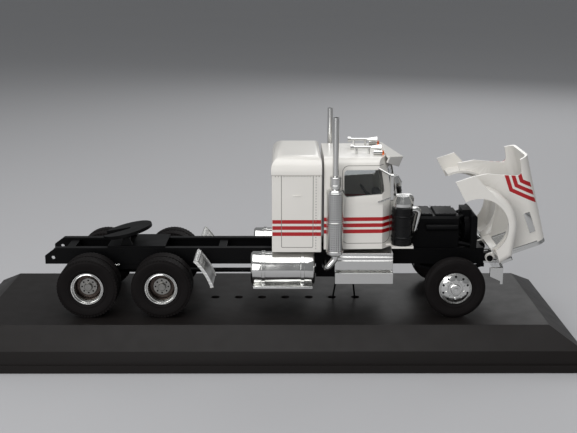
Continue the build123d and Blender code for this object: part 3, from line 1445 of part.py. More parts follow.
def sleeper_form(lap, bottom, top):
    """The sleeper between two levels, grown by a lap at its sides and rear."""
    half = SLEEPER_HALF + lap
    rear = SLEEPER_REAR_X - lap
    corners = ((-half, SLEEPER_BOTTOM), (half, SLEEPER_BOTTOM), (half, SLEEPER_TOP), (-half, SLEEPER_TOP))
    front_view = side_face(*corners)
    front_view = fillet(front_view.vertices().group_by(Axis.Y)[-1], SLEEPER_EDGE)
    side_view = side_face(
        (rear, SLEEPER_BOTTOM),
        (SLEEPER_FRONT_X, SLEEPER_BOTTOM),
        (SLEEPER_FRONT_X, SLEEPER_TOP),
        (rear, SLEEPER_TOP),
    )
    side_view = fillet(side_view.vertices().group_by(Axis.Y)[-1].sort_by(Axis.X)[0], SLEEPER_REAR_EDGE)
    side_view = fillet(side_view.vertices().group_by(Axis.Y)[-1].sort_by(Axis.X)[-1], SLEEPER_FRONT_EDGE)
    form = front_slab(front_view, rear, SLEEPER_FRONT_X) & slab(side_view, -half, half)
    return form & block(rear, SLEEPER_FRONT_X, -half, half, bottom, top)


parts["sleeper_body"] = sleeper_form(0, SLEEPER_BOTTOM, SLEEPER_SEAM)
parts["sleeper_roof"] = sleeper_form(SLEEPER_ROOF_LAP, SLEEPER_SEAM, SLEEPER_TOP)

PAD_HALF = 1.6
SLEEPER_PAD_INSET = 3.5
CAB_PAD_INSET = 4.5


# Pads between the rails and the two boxes above them
def make_pads():
    # centre X, top
    pads = (
        (SLEEPER_REAR_X + SLEEPER_PAD_INSET, SLEEPER_BOTTOM),
        (SLEEPER_FRONT_X - SLEEPER_PAD_INSET, SLEEPER_BOTTOM),
        (CAB_REAR_X + CAB_PAD_INSET, CAB_BOTTOM),
        (CAB_SHOULDER_X, CAB_BOTTOM),
    )
    made = Part()
    for x, top in pads:
        y0 = FRAME_HALF_WIDTH - RAIL_FLANGE
        pad = block(x - PAD_HALF, x + PAD_HALF, y0, FRAME_HALF_WIDTH, RAIL_TOP, top)
        made += pad
        made += mirrored(pad)
    return made


parts["cab_pads"] = make_pads()

# Sun visor: a blade on the roof's brow, pointed in plan, with a lip that deepens to the middle
VISOR_REAR_X = 51.6
VISOR_END_X = 52.9
VISOR_TIP_X = 60.4
VISOR_HALF = 17.4
VISOR_THICK = 0.8
VISOR_LIFT = 0.05
VISOR_TIP_LIP = 4.2
VISOR_END_LIP = 2.0


def make_visor():
    slope = math.atan2(ROOF_BROW_DROP, ROOF_BROW_RUN)
    along = (math.cos(slope), 0, -math.sin(slope))
    up = (math.sin(slope), 0, math.cos(slope))
    brow = Plane(origin=(ROOF_BROW_X, 0, CAB_TOP), x_dir=along, z_dir=up).offset(VISOR_LIFT)
    rear, end, tip = [(x - ROOF_BROW_X) / math.cos(slope) for x in (VISOR_REAR_X, VISOR_END_X, VISOR_TIP_X)]
    half = VISOR_HALF
    plan = side_face((rear, -half), (end, -half), (tip, 0), (end, half), (rear, half))
    visor = extrude(brow * plan, VISOR_THICK)

    def lip_section(y, reach, depth):
        plane = Plane(origin=brow.from_local_coords((reach, y, 0)), x_dir=along, z_dir=(0, 1, 0))
        return plane * side_face((-VISOR_THICK, 0), (0, 0), (0, depth), (-VISOR_THICK, depth))

    lip = loft([lip_section(0, tip, VISOR_TIP_LIP), lip_section(half, end, VISOR_END_LIP)], ruled=True)
    return visor + lip + mirrored(lip)


parts["sun_visor"] = make_visor()

# Roof horns on two posts each, and marker lamps ahead of them
HORN_Y = 10.0
HORN_Z = 69.9
HORN_REAR_X = 37.0
HORN_FRONT_X = 50.0
HORN_RADIUS = 0.6
HORN_BELL = 1.35
HORN_BELL_LENGTH = 4.5
HORN_DRIVER_RADIUS = 1.2
HORN_DRIVER_LENGTH = 1.4
HORN_POST_RADIUS = 0.5
HORN_POST_REAR_X = 39.6
HORN_POST_FRONT_X = 44.8
MARKER_Y = 12.2
MARKER_REAR_X = 46.6
MARKER_LENGTH = 3.6
MARKER_RADIUS = 1.0
LENS_LENGTH = 0.8
LENS_RADIUS = 0.9


def make_horn():
    horn = bar((HORN_REAR_X, HORN_Y, HORN_Z), (HORN_FRONT_X, HORN_Y, HORN_Z), HORN_RADIUS)
    driver_end = HORN_REAR_X + HORN_DRIVER_LENGTH
    horn += bar((HORN_REAR_X, HORN_Y, HORN_Z), (driver_end, HORN_Y, HORN_Z), HORN_DRIVER_RADIUS)
    plane = Plane(origin=(HORN_FRONT_X - HORN_BELL_LENGTH / 2, HORN_Y, HORN_Z), z_dir=(1, 0, 0))
    horn += plane * Cone(HORN_RADIUS, HORN_BELL, HORN_BELL_LENGTH)
    for x in (HORN_POST_REAR_X, HORN_POST_FRONT_X):
        horn += bar((x, HORN_Y, CAB_TOP), (x, HORN_Y, HORN_Z), HORN_POST_RADIUS)
    return horn


def make_marker():
    z = CAB_TOP + MARKER_RADIUS
    front = MARKER_REAR_X + MARKER_LENGTH
    housing = bar((MARKER_REAR_X, MARKER_Y, z), (front, MARKER_Y, z), MARKER_RADIUS)
    lens = bar((front, MARKER_Y, z), (front + LENS_LENGTH, MARKER_Y, z), LENS_RADIUS)
    return housing, lens


horn = make_horn()
marker, lens = make_marker()
parts["roof_horns"] = horn + mirrored(horn)
parts["marker_housings"] = marker + mirrored(marker)
parts["marker_lenses"] = lens + mirrored(lens)

# Mirrors on two arms at the screen pillars
MIRROR_X = 52.6
MIRROR_THICK = 1.2
MIRROR_INNER = 23.4
MIRROR_OUTER = 27.0
MIRROR_LOW = 50.4
MIRROR_HIGH = 61.6
MIRROR_ARM = 0.4
MIRROR_EDGE = 0.9
MIRROR_ARM_INSET = 1.0
MIRROR_FOOT_X = 48.0
MIRROR_FOOT_DROP = 2.0
MIRROR_FOOT_RISE = 0.8
MIRROR_FOOT_STANDOFF = 0.25
MIRROR_HIGH_FOOT_INSET = 1.5


def make_mirror_arm():
    head = block(MIRROR_X, MIRROR_X + MIRROR_THICK, MIRROR_INNER, MIRROR_OUTER, MIRROR_LOW, MIRROR_HIGH)
    head = fillet(head.edges().filter_by(Axis.X), MIRROR_EDGE)
    y = (MIRROR_INNER + MIRROR_OUTER) / 2
    middle = MIRROR_X + MIRROR_THICK / 2
    low_foot_y = CAB_SHOULDER_HALF + MIRROR_FOOT_STANDOFF
    high_foot_y = CAB_SHOULDER_HALF - MIRROR_HIGH_FOOT_INSET
    # level at the head, level and Y at the foot
    arms = (
        (MIRROR_LOW + MIRROR_ARM_INSET, WINDOW_LOW - MIRROR_FOOT_DROP, low_foot_y),
        (MIRROR_HIGH - MIRROR_ARM_INSET, WINDOW_HIGH + MIRROR_FOOT_RISE, high_foot_y),
    )
    for head_z, foot_z, foot_y in arms:
        head += bar((MIRROR_FOOT_X, foot_y, foot_z), (middle, y, head_z), MIRROR_ARM)
    return head


mirror_arm = make_mirror_arm()
parts["mirrors"] = mirror_arm + mirrored(mirror_arm)

# Every piece is stood on the plinth's deck and written out
os.makedirs("parts", exist_ok=True)
for name, shape in parts.items():
    export_step(Pos(0, 0, PLINTH_HEIGHT) * shape, os.path.join("parts", name + ".step"))
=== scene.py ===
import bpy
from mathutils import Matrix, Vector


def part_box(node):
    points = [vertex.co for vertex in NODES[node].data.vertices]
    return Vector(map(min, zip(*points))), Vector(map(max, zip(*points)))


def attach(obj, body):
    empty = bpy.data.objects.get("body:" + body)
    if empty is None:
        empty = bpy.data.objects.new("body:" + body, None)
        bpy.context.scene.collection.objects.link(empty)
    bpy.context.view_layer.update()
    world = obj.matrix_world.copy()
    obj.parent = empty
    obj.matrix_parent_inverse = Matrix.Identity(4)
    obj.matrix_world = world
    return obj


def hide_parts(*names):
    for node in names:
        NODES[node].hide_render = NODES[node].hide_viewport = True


bl_info = {
    "name": "Display model of a long-nose tractor",
    "version": (1, 0, 0),
    "blender": (4, 5, 0),
    "location": "3D View > Sidebar > Tractor",
    "description": "Dresses the tractor model on its plinth: tyres, wheels, paint, plating and fittings",
    "category": "Object",
}

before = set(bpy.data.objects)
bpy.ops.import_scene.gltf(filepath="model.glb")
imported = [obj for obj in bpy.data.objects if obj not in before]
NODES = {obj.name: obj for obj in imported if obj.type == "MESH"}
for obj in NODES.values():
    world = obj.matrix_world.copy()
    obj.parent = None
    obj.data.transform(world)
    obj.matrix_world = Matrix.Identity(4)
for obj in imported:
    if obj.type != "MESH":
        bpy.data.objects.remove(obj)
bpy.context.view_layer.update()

import math

import bmesh
import bpy
from bpy.props import FloatProperty, FloatVectorProperty, IntProperty, PointerProperty
from mathutils import Matrix, Vector

MM = 0.001
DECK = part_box("plinth")[1].z
SIDES = (("right", -1), ("left", 1))
LEVEL = Vector((0, 1, 0))
AHEAD = Vector((1, 0, 0))
UPRIGHT = Vector((0, 0, 1))

# The hood is drawn in its open state and turns about this line
HINGE = Vector((97.7 * MM, 0, DECK + 21.7 * MM))
HOOD_OPEN_ANGLE = math.radians(70)
HOOD_TURN = Matrix.Translation(HINGE) @ Matrix.Rotation(HOOD_OPEN_ANGLE, 4, "Y") @ Matrix.Translation(-HINGE)

# The camera that took the photograph, which is 577 pixels wide
PHOTO_WIDTH = 577
FOCAL_PIXELS = 990.15
SENSOR_WIDTH = 36.0
CAMERA_PLACE = Vector((9.92, -422.46, 159.06)) * MM
CAMERA_PITCH = math.radians(14.03)
CAMERA_YAW = math.radians(0.129)


def linear(text, alpha=1.0):
    """Linear colour of an sRGB hex value."""
    values = []
    for start in (0, 2, 4):
        share = int(text[start:start + 2], 16) / 255
        values.append(share / 12.92 if share <= 0.04045 else ((share + 0.055) / 1.055) ** 2.4)
    return (*values, alpha)


def colour_prop(name, text, description):
    return FloatVectorProperty(
        name=name, description=description, default=linear(text)[:3], size=3, min=0, max=1, subtype="COLOR"
    )


def length_prop(name, millimetres, description):
    return FloatProperty(
        name=name, description=description, default=millimetres * MM, min=0, unit="LENGTH", precision=5
    )


class TractorColours(bpy.types.PropertyGroup):
    """Colours of the model's finishes."""

    enamel: colour_prop("Enamel", "E2DFD9", "White enamel of the cab, sleeper and hood")
    stripe: colour_prop("Stripes", "A8040F", "Red of the three printed stripes")
    plating: colour_prop("Plating", "D9D9D7", "Bright plating")
    chassis: colour_prop("Chassis", "0A0A0B", "Moulded black of the chassis and engine")
    tyre: colour_prop("Tyres", "121010", "Soft vinyl of the tyres")
    plinth: colour_prop("Plinth", "171413", "Moulded black of the plinth")
    amber: colour_prop("Amber lenses", "E0640F", "Clear amber of the roof lamps")
    cabin: colour_prop("Cabin", "232426", "Moulded grey of the cab inside")
    glazing: colour_prop("Glazing", "F2F5F5", "Tint of the clear window moulding")
    steel: colour_prop("Steel", "8C8B88", "Plain steel of the rods and the wheel hubs")
    # Painted shade: the dishes are darker than the plating, as the shade deep inside the drive wheels
    shaded_dish: colour_prop("Wheel dishes", "4A423E", "Dull metal deep inside the drive wheels")


class TractorSizes(bpy.types.PropertyGroup):
    """Sizes of what the scene adds to the frame."""

    stripe_width: length_prop("Stripe width", 1.62, "Width of one printed stripe")
    stripe_pitch: length_prop("Stripe pitch", 2.62, "Distance from one stripe to the next")
    panel_line: length_prop("Panel line", 0.26, "Width of the grooves round doors and hatches")
    edge_round: length_prop("Edge rounding", 0.22, "Rounding of moulded and cast edges")
    rivet_radius: length_prop("Rivet radius", 0.27, "Radius of one rivet head")
    rivet_pitch: length_prop("Rivet pitch", 1.2, "Distance from one rivet to the next")
    shield_pitch: length_prop("Shield hole pitch", 0.95, "Distance between the holes in the stack shields")
    shoulder_lugs: IntProperty(
        name="Shoulder lugs", description="Lugs round one drive tyre shoulder", default=56, min=12
    )
    wheel_nuts: IntProperty(name="Wheel nuts", description="Nuts on one wheel", default=10, min=3)


def colours():
    return bpy.context.scene.tractor_colours


def sizes():
    return bpy.context.scene.tractor_sizes


def opaque(colour):
    return (*colour, 1.0)


def add_node(tree, kind, inputs=None, **settings):
    """One shader node with its settings, and with values or links on its sockets."""
    node = tree.nodes.new(kind)
    for key, value in settings.items():
        setattr(node, key, value)
    for socket, value in (inputs or {}).items():
        if isinstance(value, bpy.types.NodeSocket):
            tree.links.new(value, node.inputs[socket])
        else:
            node.inputs[socket].default_value = value
    return node


def new_finish(name, **sockets):
    """A material with plain values on its shader. Gives it, its tree, its shader and Object coordinates."""
    material = bpy.data.materials.new(name)
    material.use_nodes = True
    tree = material.node_tree
    shader = tree.nodes["Principled BSDF"]
    for socket, value in sockets.items():
        shader.inputs[socket.replace("_", " ")].default_value = value
    place = add_node(tree, "ShaderNodeTexCoord").outputs["Object"]
    return material, tree, shader, place


def grain_bump(tree, shader, place, size, depth, strength):
    """Fine unevenness of the surface: the size and the depth of its grain are in metres."""
    noise = add_node(tree, "ShaderNodeTexNoise", {"Vector": place, "Scale": 1 / size, "Detail": 3.0})
    bump = add_node(
        tree, "ShaderNodeBump", {"Height": noise.outputs[0], "Distance": depth, "Strength": strength}
    )
    tree.links.new(bump.outputs[0], shader.inputs["Normal"])
    return bump


# Where most of a noise pattern's values lie
NOISE_SPAN = {"From Min": 0.3, "From Max": 0.7}


def uneven(tree, socket, place, size, low, high):
    """A socket that drifts between two values over patches of the given size."""
    noise = add_node(tree, "ShaderNodeTexNoise", {"Vector": place, "Scale": 1 / size, "Detail": 2.0})
    spread = add_node(
        tree,
        "ShaderNodeMapRange",
        {"Value": noise.outputs[0], **NOISE_SPAN, "To Min": low, "To Max": high},
    )
    tree.links.new(spread.outputs[0], socket)


STRIPE_COUNT = 3


def stripe_bands(tree, height, base):
    """One where a height lies in one of the stripes that start at the base."""
    pitch = sizes().stripe_pitch
    lifted = add_node(tree, "ShaderNodeMath", {0: height, 1: base}, operation="SUBTRACT")
    steps = add_node(tree, "ShaderNodeMath", {0: lifted.outputs[0], 1: pitch}, operation="DIVIDE")
    share = add_node(tree, "ShaderNodeMath", {0: steps.outputs[0]}, operation="FRACT")
    band = add_node(
        tree, "ShaderNodeMath", {0: share.outputs[0], 1: sizes().stripe_width / pitch}, operation="LESS_THAN"
    )
    half = STRIPE_COUNT / 2
    counted = add_node(tree, "ShaderNodeMath", {0: steps.outputs[0], 1: half, 2: half}, operation="COMPARE")
    both = add_node(tree, "ShaderNodeMath", {0: band.outputs[0], 1: counted.outputs[0]}, operation="MULTIPLY")
    return both.outputs[0]


def panel_line(tree, place, low, high, corner):
    """One on the groove round a panel with rounded corners, seen from the side, where the groove's shade is
    painted as a darker line. Corners are X and Z.
    """
    middle = Vector(((low[0] + high[0]) / 2, 0, (low[1] + high[1]) / 2))
    half = Vector(((high[0] - low[0]) / 2 - corner, 0, (high[1] - low[1]) / 2 - corner))
    near = add_node(tree, "ShaderNodeVectorMath", {0: place, 1: middle}, operation="SUBTRACT")
    folded = add_node(tree, "ShaderNodeVectorMath", {0: near.outputs[0]}, operation="ABSOLUTE")
    past = add_node(tree, "ShaderNodeVectorMath", {0: folded.outputs[0], 1: half}, operation="SUBTRACT")
    outside = add_node(
        tree, "ShaderNodeVectorMath", {0: past.outputs[0], 1: (0.0, 0.0, 0.0)}, operation="MAXIMUM"
    )
    flat = add_node(
        tree, "ShaderNodeVectorMath", {0: outside.outputs[0], 1: (1.0, 0.0, 1.0)}, operation="MULTIPLY"
    )
    reach = add_node(tree, "ShaderNodeVectorMath", {0: flat.outputs[0]}, operation="LENGTH")
    line = add_node(
        tree,
        "ShaderNodeMath",
        {0: reach.outputs["Value"], 1: corner, 2: sizes().panel_line / 2},
        operation="COMPARE",
    )
    return line.outputs[0]


def beyond(tree, place, width):
    """One on what lies further from the truck's middle line than the given width."""
    folded = add_node(tree, "ShaderNodeVectorMath", {0: place}, operation="ABSOLUTE")
    parts = add_node(tree, "ShaderNodeSeparateXYZ", {0: folded.outputs[0]})
    far = add_node(tree, "ShaderNodeMath", {0: parts.outputs["Y"], 1: width}, operation="GREATER_THAN")
    return far.outputs[0]


ENAMEL_PATCH = 9 * MM
ENAMEL_SHADE = 0.95
# The grooves round the doors and hatches are not cut: their shade is painted in this darker grey
PANEL_LINE_SHADE_COLOUR = "77746F"


def shaded(colour, share):
    """An opaque colour with each of its values brought to a share."""
    return opaque([share * value for value in colour])


def enamel(name, stripes=None, shade_lines=None):
    """Enamel sprayed on cast zinc and lacquered: an even warm white, a soft gloss and a faint orange peel."""
    material, tree, shader, place = new_finish(name, Roughness=0.3, Coat_Weight=0.3, Coat_Roughness=0.1)
    grain_bump(tree, shader, place, size=0.8 * MM, depth=0.02 * MM, strength=0.25)
    tone = add_node(tree, "ShaderNodeTexNoise", {"Vector": place, "Scale": 1 / ENAMEL_PATCH, "Detail": 1.0})
    pale = add_node(
        tree,
        "ShaderNodeMix",
        {0: tone.outputs[0], 6: opaque(colours().enamel), 7: shaded(colours().enamel, ENAMEL_SHADE)},
        data_type="RGBA",
    )
    colour = pale.outputs[2]
    if stripes:
        inputs = {0: stripes(tree, place), 6: colour, 7: opaque(colours().stripe)}
        colour = add_node(tree, "ShaderNodeMix", inputs, data_type="RGBA").outputs[2]
    # Painted shade: the grooves round doors and hatches are drawn as darker lines
    if shade_lines:
        inputs = {0: shade_lines(tree, place), 6: colour, 7: linear(PANEL_LINE_SHADE_COLOUR)}
        colour = add_node(tree, "ShaderNodeMix", inputs, data_type="RGBA").outputs[2]
    tree.links.new(colour, shader.inputs["Base Color"])
    return material


CAB_STRIPE_BASE = DECK + 35.75 * MM
SLEEPER_STRIPE_BASE = DECK + 34.85 * MM
CAB_SIDE = 17.2 * MM
SLEEPER_SIDE = 23.9 * MM
CAB_DOOR = ((33.2 * MM, DECK + 31.4 * MM), (53.4 * MM, DECK + 64.0 * MM))
CAB_DOOR_CORNER = 2.6 * MM
SLEEPER_HATCH = ((7.9 * MM, DECK + 29.9 * MM), (21.0 * MM, DECK + 60.6 * MM))
SLEEPER_HATCH_CORNER = 0.5 * MM

# The hood's stripes run level from its rear edge and turn up at a slant, in the closed state
HOOD_STRIPE_ELBOW = Vector((71.3 * MM, 0, DECK + 37.9 * MM))
HOOD_STRIPE_SLANT = math.radians(46)
HOOD_REAR = Vector((59.8 * MM, 16.2 * MM, DECK + 50.3 * MM))
HOOD_FRONT = Vector((97.0 * MM, 14.6 * MM, DECK + 46.8 * MM))
HOOD_CORNER = 5.6 * MM
HOOD_SKIN = 0.55 * MM
HOOD_STRIPE_TOP = HOOD_FRONT.z + 0.6 * MM


def on_sides(tree, mask, place, width):
    """A mask kept to what lies beyond the given width."""
    side = beyond(tree, place, width)
    return add_node(tree, "ShaderNodeMath", {0: mask, 1: side}, operation="MULTIPLY").outputs[0]


def cab_stripes(tree, place):
    parts = add_node(tree, "ShaderNodeSeparateXYZ", {0: place})
    return on_sides(tree, stripe_bands(tree, parts.outputs["Z"], CAB_STRIPE_BASE), place, CAB_SIDE)


# Painted shade of the groove round the cab door, on the outer sides
def cab_groove_shade(tree, place):
    return on_sides(tree, panel_line(tree, place, *CAB_DOOR, CAB_DOOR_CORNER), place, CAB_SIDE)


def sleeper_stripes(tree, place):
    parts = add_node(tree, "ShaderNodeSeparateXYZ", {0: place})
    return on_sides(tree, stripe_bands(tree, parts.outputs["Z"], SLEEPER_STRIPE_BASE), place, SLEEPER_SIDE)


# Painted shade of the groove round the sleeper hatch, on the outer sides
def sleeper_groove_shade(tree, place):
    return on_sides(tree, panel_line(tree, place, *SLEEPER_HATCH, SLEEPER_HATCH_CORNER), place, SLEEPER_SIDE)


def hood_stripes(tree, place):
    """Chevron bands on the hood's outer skin, worked out on its closed state."""
    shut = add_node(
        tree,
        "ShaderNodeMapping",
        {"Vector": place, "Location": HOOD_TURN.inverted().translation, "Rotation": (0, -HOOD_OPEN_ANGLE, 0)},
        vector_type="POINT",
    ).outputs[0]
    near = add_node(tree, "ShaderNodeVectorMath", {0: shut, 1: HOOD_STRIPE_ELBOW}, operation="SUBTRACT")
    rise = Vector((-math.sin(HOOD_STRIPE_SLANT), 0, math.cos(HOOD_STRIPE_SLANT)))
    level = add_node(tree, "ShaderNodeVectorMath", {0: near.outputs[0], 1: UPRIGHT}, operation="DOT_PRODUCT")
    slant = add_node(tree, "ShaderNodeVectorMath", {0: near.outputs[0], 1: rise}, operation="DOT_PRODUCT")
    height = add_node(
        tree, "ShaderNodeMath", {0: level.outputs["Value"], 1: slant.outputs["Value"]}, operation="MINIMUM"
    )
    bands = stripe_bands(tree, height.outputs[0], 0.0)
    # distance out from the core of the hood's rounded section, which narrows and drops to the front
    fold = add_node(tree, "ShaderNodeVectorMath", {0: shut}, operation="ABSOLUTE")
    along = add_node(tree, "ShaderNodeSeparateXYZ", {0: fold.outputs[0]})
    corner = Vector((0, HOOD_CORNER, HOOD_CORNER))
    edge = add_node(
        tree,
        "ShaderNodeMapRange",
        {
            "Vector": along.outputs["X"],
            7: (HOOD_REAR.x,) * 3,
            8: (HOOD_FRONT.x,) * 3,
            9: HOOD_REAR - corner,
            10: HOOD_FRONT - corner,
        },
        data_type="FLOAT_VECTOR",
    )
    out = add_node(
        tree, "ShaderNodeVectorMath", {0: fold.outputs[0], 1: edge.outputs[1]}, operation="SUBTRACT"
    )
    past = add_node(
        tree, "ShaderNodeVectorMath", {0: out.outputs[0], 1: (0.0, 0.0, 0.0)}, operation="MAXIMUM"
    )
    flat = add_node(
        tree, "ShaderNodeVectorMath", {0: past.outputs[0], 1: (0.0, 1.0, 1.0)}, operation="MULTIPLY"
    )
    reach = add_node(tree, "ShaderNodeVectorMath", {0: flat.outputs[0]}, operation="LENGTH")
    skin = add_node(
        tree,
        "ShaderNodeMath",
        {0: reach.outputs["Value"], 1: HOOD_CORNER, 2: HOOD_SKIN},
        operation="COMPARE",
    )
    below = add_node(
        tree, "ShaderNodeMath", {0: along.outputs["Z"], 1: HOOD_STRIPE_TOP}, operation="LESS_THAN"
    )
    on_skin = add_node(
        tree, "ShaderNodeMath", {0: skin.outputs[0], 1: below.outputs[0]}, operation="MULTIPLY"
    )
    kept = add_node(tree, "ShaderNodeMath", {0: bands, 1: on_skin.outputs[0]}, operation="MULTIPLY")
    return kept.outputs[0]


HAZE_DRIFT = 0.09
RELIEF_HEIGHT = 0.05 * MM


def plated(name, haze, relief=None):
    """Styrene plated in vacuum: a bright mirror with a slight haze and flow marks from the moulding."""
    material, tree, shader, place = new_finish(name, Metallic=1.0)
    shader.inputs["Base Color"].default_value = opaque(colours().plating)
    uneven(tree, shader.inputs["Roughness"], place, size=3.5 * MM, low=haze, high=haze + HAZE_DRIFT)
    bump = grain_bump(tree, shader, place, size=5 * MM, depth=0.03 * MM, strength=0.3)
    if relief:
        raised = relief(tree, place)
        over = add_node(
            tree, "ShaderNodeBump", {"Height": raised, "Distance": RELIEF_HEIGHT, "Normal": bump.outputs[0]}
        )
        tree.links.new(over.outputs[0], shader.inputs["Normal"])
    return material


TREAD_PLATE_PITCH = 1.5 * MM
# A diamond's foot and its flat top, as shares of the pitch
DIAMOND_FOOT = 0.42
DIAMOND_TOP = 0.3


def tread_plate(tree, place):
    """Raised diamonds of chequer plate, drawn coarser than real ones so that they show."""
    parts = add_node(tree, "ShaderNodeSeparateXYZ", {0: place})
    flat = add_node(tree, "ShaderNodeCombineXYZ", {0: parts.outputs["Y"], 1: parts.outputs["Z"]})
    grid = add_node(
        tree,
        "ShaderNodeTexVoronoi",
        {"Vector": flat.outputs[0], "Scale": 1 / TREAD_PLATE_PITCH, "Randomness": 0.0},
        voronoi_dimensions="2D",
        distance="MANHATTAN",
    )
    raised = add_node(
        tree,
        "ShaderNodeMapRange",
        {"Value": grid.outputs["Distance"], "From Min": DIAMOND_FOOT, "From Max": DIAMOND_TOP},
    )
    return raised.outputs[0]


# Exhaust stacks: X and Y of the left one in millimetres, and the shield on it
STACK_PLACE = (30.0, 27.3)
STACK_LINE = Vector((*STACK_PLACE, 0)) * MM
SHIELD_RADIUS = 3.5 * MM
SHIELD_SPAN = (DECK + 29.0 * MM, DECK + 54.4 * MM)
# A hole's radius as a share of the pitch, and the dark colour painted in it as the shade seen through the
# hole
SHIELD_HOLE = 0.3
SHIELD_HOLE_SHADE_COLOUR = "2A2A2B"


def perforated(name):
    """Plated shield pierced with rows of round holes, not cut but painted dark as the shade seen through
    them.
    """
    material, tree, shader, place = new_finish(name)
    pitch = sizes().shield_pitch
    folded = add_node(tree, "ShaderNodeVectorMath", {0: place}, operation="ABSOLUTE")
    near = add_node(tree, "ShaderNodeVectorMath", {0: folded.outputs[0], 1: STACK_LINE}, operation="SUBTRACT")
    parts = add_node(tree, "ShaderNodeSeparateXYZ", {0: near.outputs[0]})
    turn = add_node(
        tree, "ShaderNodeMath", {0: parts.outputs["X"], 1: parts.outputs["Y"]}, operation="ARCTAN2"
    )
    holes_round = round(math.tau * SHIELD_RADIUS / pitch)
    column = add_node(
        tree, "ShaderNodeMath", {0: turn.outputs[0], 1: holes_round / math.tau}, operation="MULTIPLY"
    )
    row = add_node(tree, "ShaderNodeMath", {0: parts.outputs["Z"], 1: pitch}, operation="DIVIDE")
    cell = add_node(tree, "ShaderNodeCombineXYZ", {0: column.outputs[0], 1: row.outputs[0]})
    share = add_node(tree, "ShaderNodeVectorMath", {0: cell.outputs[0]}, operation="FRACTION")
    centred = add_node(
        tree, "ShaderNodeVectorMath", {0: share.outputs[0], 1: (0.5, 0.5, 0.0)}, operation="DISTANCE"
    )
    hole = add_node(
        tree, "ShaderNodeMath", {0: centred.outputs["Value"], 1: SHIELD_HOLE}, operation="LESS_THAN"
    )
    middle = (SHIELD_SPAN[0] + SHIELD_SPAN[1]) / 2
    span = (SHIELD_SPAN[1] - SHIELD_SPAN[0]) / 2
    on_shield = add_node(
        tree, "ShaderNodeMath", {0: parts.outputs["Z"], 1: middle, 2: span}, operation="COMPARE"
    )
    hole_shade = add_node(
        tree, "ShaderNodeMath", {0: hole.outputs[0], 1: on_shield.outputs[0]}, operation="MULTIPLY"
    )
    # Painted shade: the holes take a dark grey and lose their metal
    colour = add_node(
        tree,
        "ShaderNodeMix",
        {0: hole_shade.outputs[0], 6: opaque(colours().plating), 7: linear(SHIELD_HOLE_SHADE_COLOUR)},
        data_type="RGBA",
    )
    bright = add_node(tree, "ShaderNodeMath", {0: 1.0, 1: hole_shade.outputs[0]}, operation="SUBTRACT")
    tree.links.new(colour.outputs[2], shader.inputs["Base Color"])
    tree.links.new(bright.outputs[0], shader.inputs["Metallic"])
    uneven(tree, shader.inputs["Roughness"], place, size=4 * MM, low=0.1, high=0.2)
    return material


SHEEN_DRIFT = 0.03


def moulded(name, colour, roughness, sheen, grain, depth):
    """Moulded plastic: one body colour, an eggshell sheen and the fine grain of the tool."""
    material, tree, shader, place = new_finish(name, Specular_IOR_Level=sheen)
    shader.inputs["Base Color"].default_value = opaque(colour)
    low = roughness - SHEEN_DRIFT
    uneven(tree, shader.inputs["Roughness"], place, size=6 * MM, low=low, high=roughness + SHEEN_DRIFT)
    grain_bump(tree, shader, place, size=grain, depth=depth, strength=0.4)
    return material


BLOOM_PATCH = 4 * MM
BLOOM_LIFT = 1.7


def vinyl(name):
    """Soft vinyl of the tyres: near black, dull, with a dusty bloom in patches."""
    material, tree, shader, place = new_finish(name, Roughness=0.62, Specular_IOR_Level=0.06)
    bloom = add_node(tree, "ShaderNodeTexNoise", {"Vector": place, "Scale": 1 / BLOOM_PATCH, "Detail": 4.0})
    colour = add_node(
        tree,
        "ShaderNodeMix",
        {0: bloom.outputs[0], 6: opaque(colours().tyre), 7: shaded(colours().tyre, BLOOM_LIFT)},
        data_type="RGBA",
    )
    tree.links.new(colour.outputs[2], shader.inputs["Base Color"])
    grain_bump(tree, shader, place, size=0.4 * MM, depth=0.03 * MM, strength=0.5)
    return material


FLUTE_DEPTH = 0.1 * MM
# What a wave texture of scale 1 turns through in a metre
WAVE_RADIANS = 20


def clear_moulding(name, colour, roughness, flute=None):
    """Clear styrene: bright reflections, a faint tint, and flutes where it is a lamp glass."""
    material, tree, shader, place = new_finish(name, Transmission_Weight=1.0, IOR=1.49, Roughness=roughness)
    shader.inputs["Base Color"].default_value = opaque(colour)
    bump = grain_bump(tree, shader, place, size=6 * MM, depth=0.03 * MM, strength=0.2)
    if flute:
        wave = add_node(
            tree,
            "ShaderNodeTexWave",
            {"Vector": place, "Scale": math.tau / (WAVE_RADIANS * flute)},
            bands_direction="Y",
        )
        over = add_node(
            tree,
            "ShaderNodeBump",
            {"Height": wave.outputs["Fac"], "Distance": FLUTE_DEPTH, "Normal": bump.outputs[0]},
        )
        tree.links.new(over.outputs[0], shader.inputs["Normal"])
    return material


def dull_metal(name, colour):
    """Drawn steel rods, plain hubs and dishes: grey metal, dulled by handling. The dishes take a darker
    colour as painted shade.
    """
    material, tree, shader, place = new_finish(name, Metallic=1.0)
    shader.inputs["Base Color"].default_value = opaque(colour)
    uneven(tree, shader.inputs["Roughness"], place, size=1.2 * MM, low=0.28, high=0.42)
    grain_bump(tree, shader, place, size=0.5 * MM, depth=0.02 * MM, strength=0.4)
    return material


LAMP_GLASS_COLOUR = "EEF0F0"
LAMP_FLUTE = 0.6 * MM
# Moulded finishes: key, name, colour, roughness, sheen, and the grain's size and depth in millimetres
MOULDINGS = (
    ("chassis", "Moulded ABS, chassis", "chassis", 0.42, 0.07, 0.45, 0.03),
    ("gloss", "Moulded ABS, polished tool", "chassis", 0.26, 0.22, 1.5, 0.02),
    ("plinth", "Moulded styrene, plinth", "plinth", 0.46, 0.2, 0.5, 0.03),
    ("cabin", "Moulded ABS, cabin", "cabin", 0.5, 0.3, 0.6, 0.04),
)


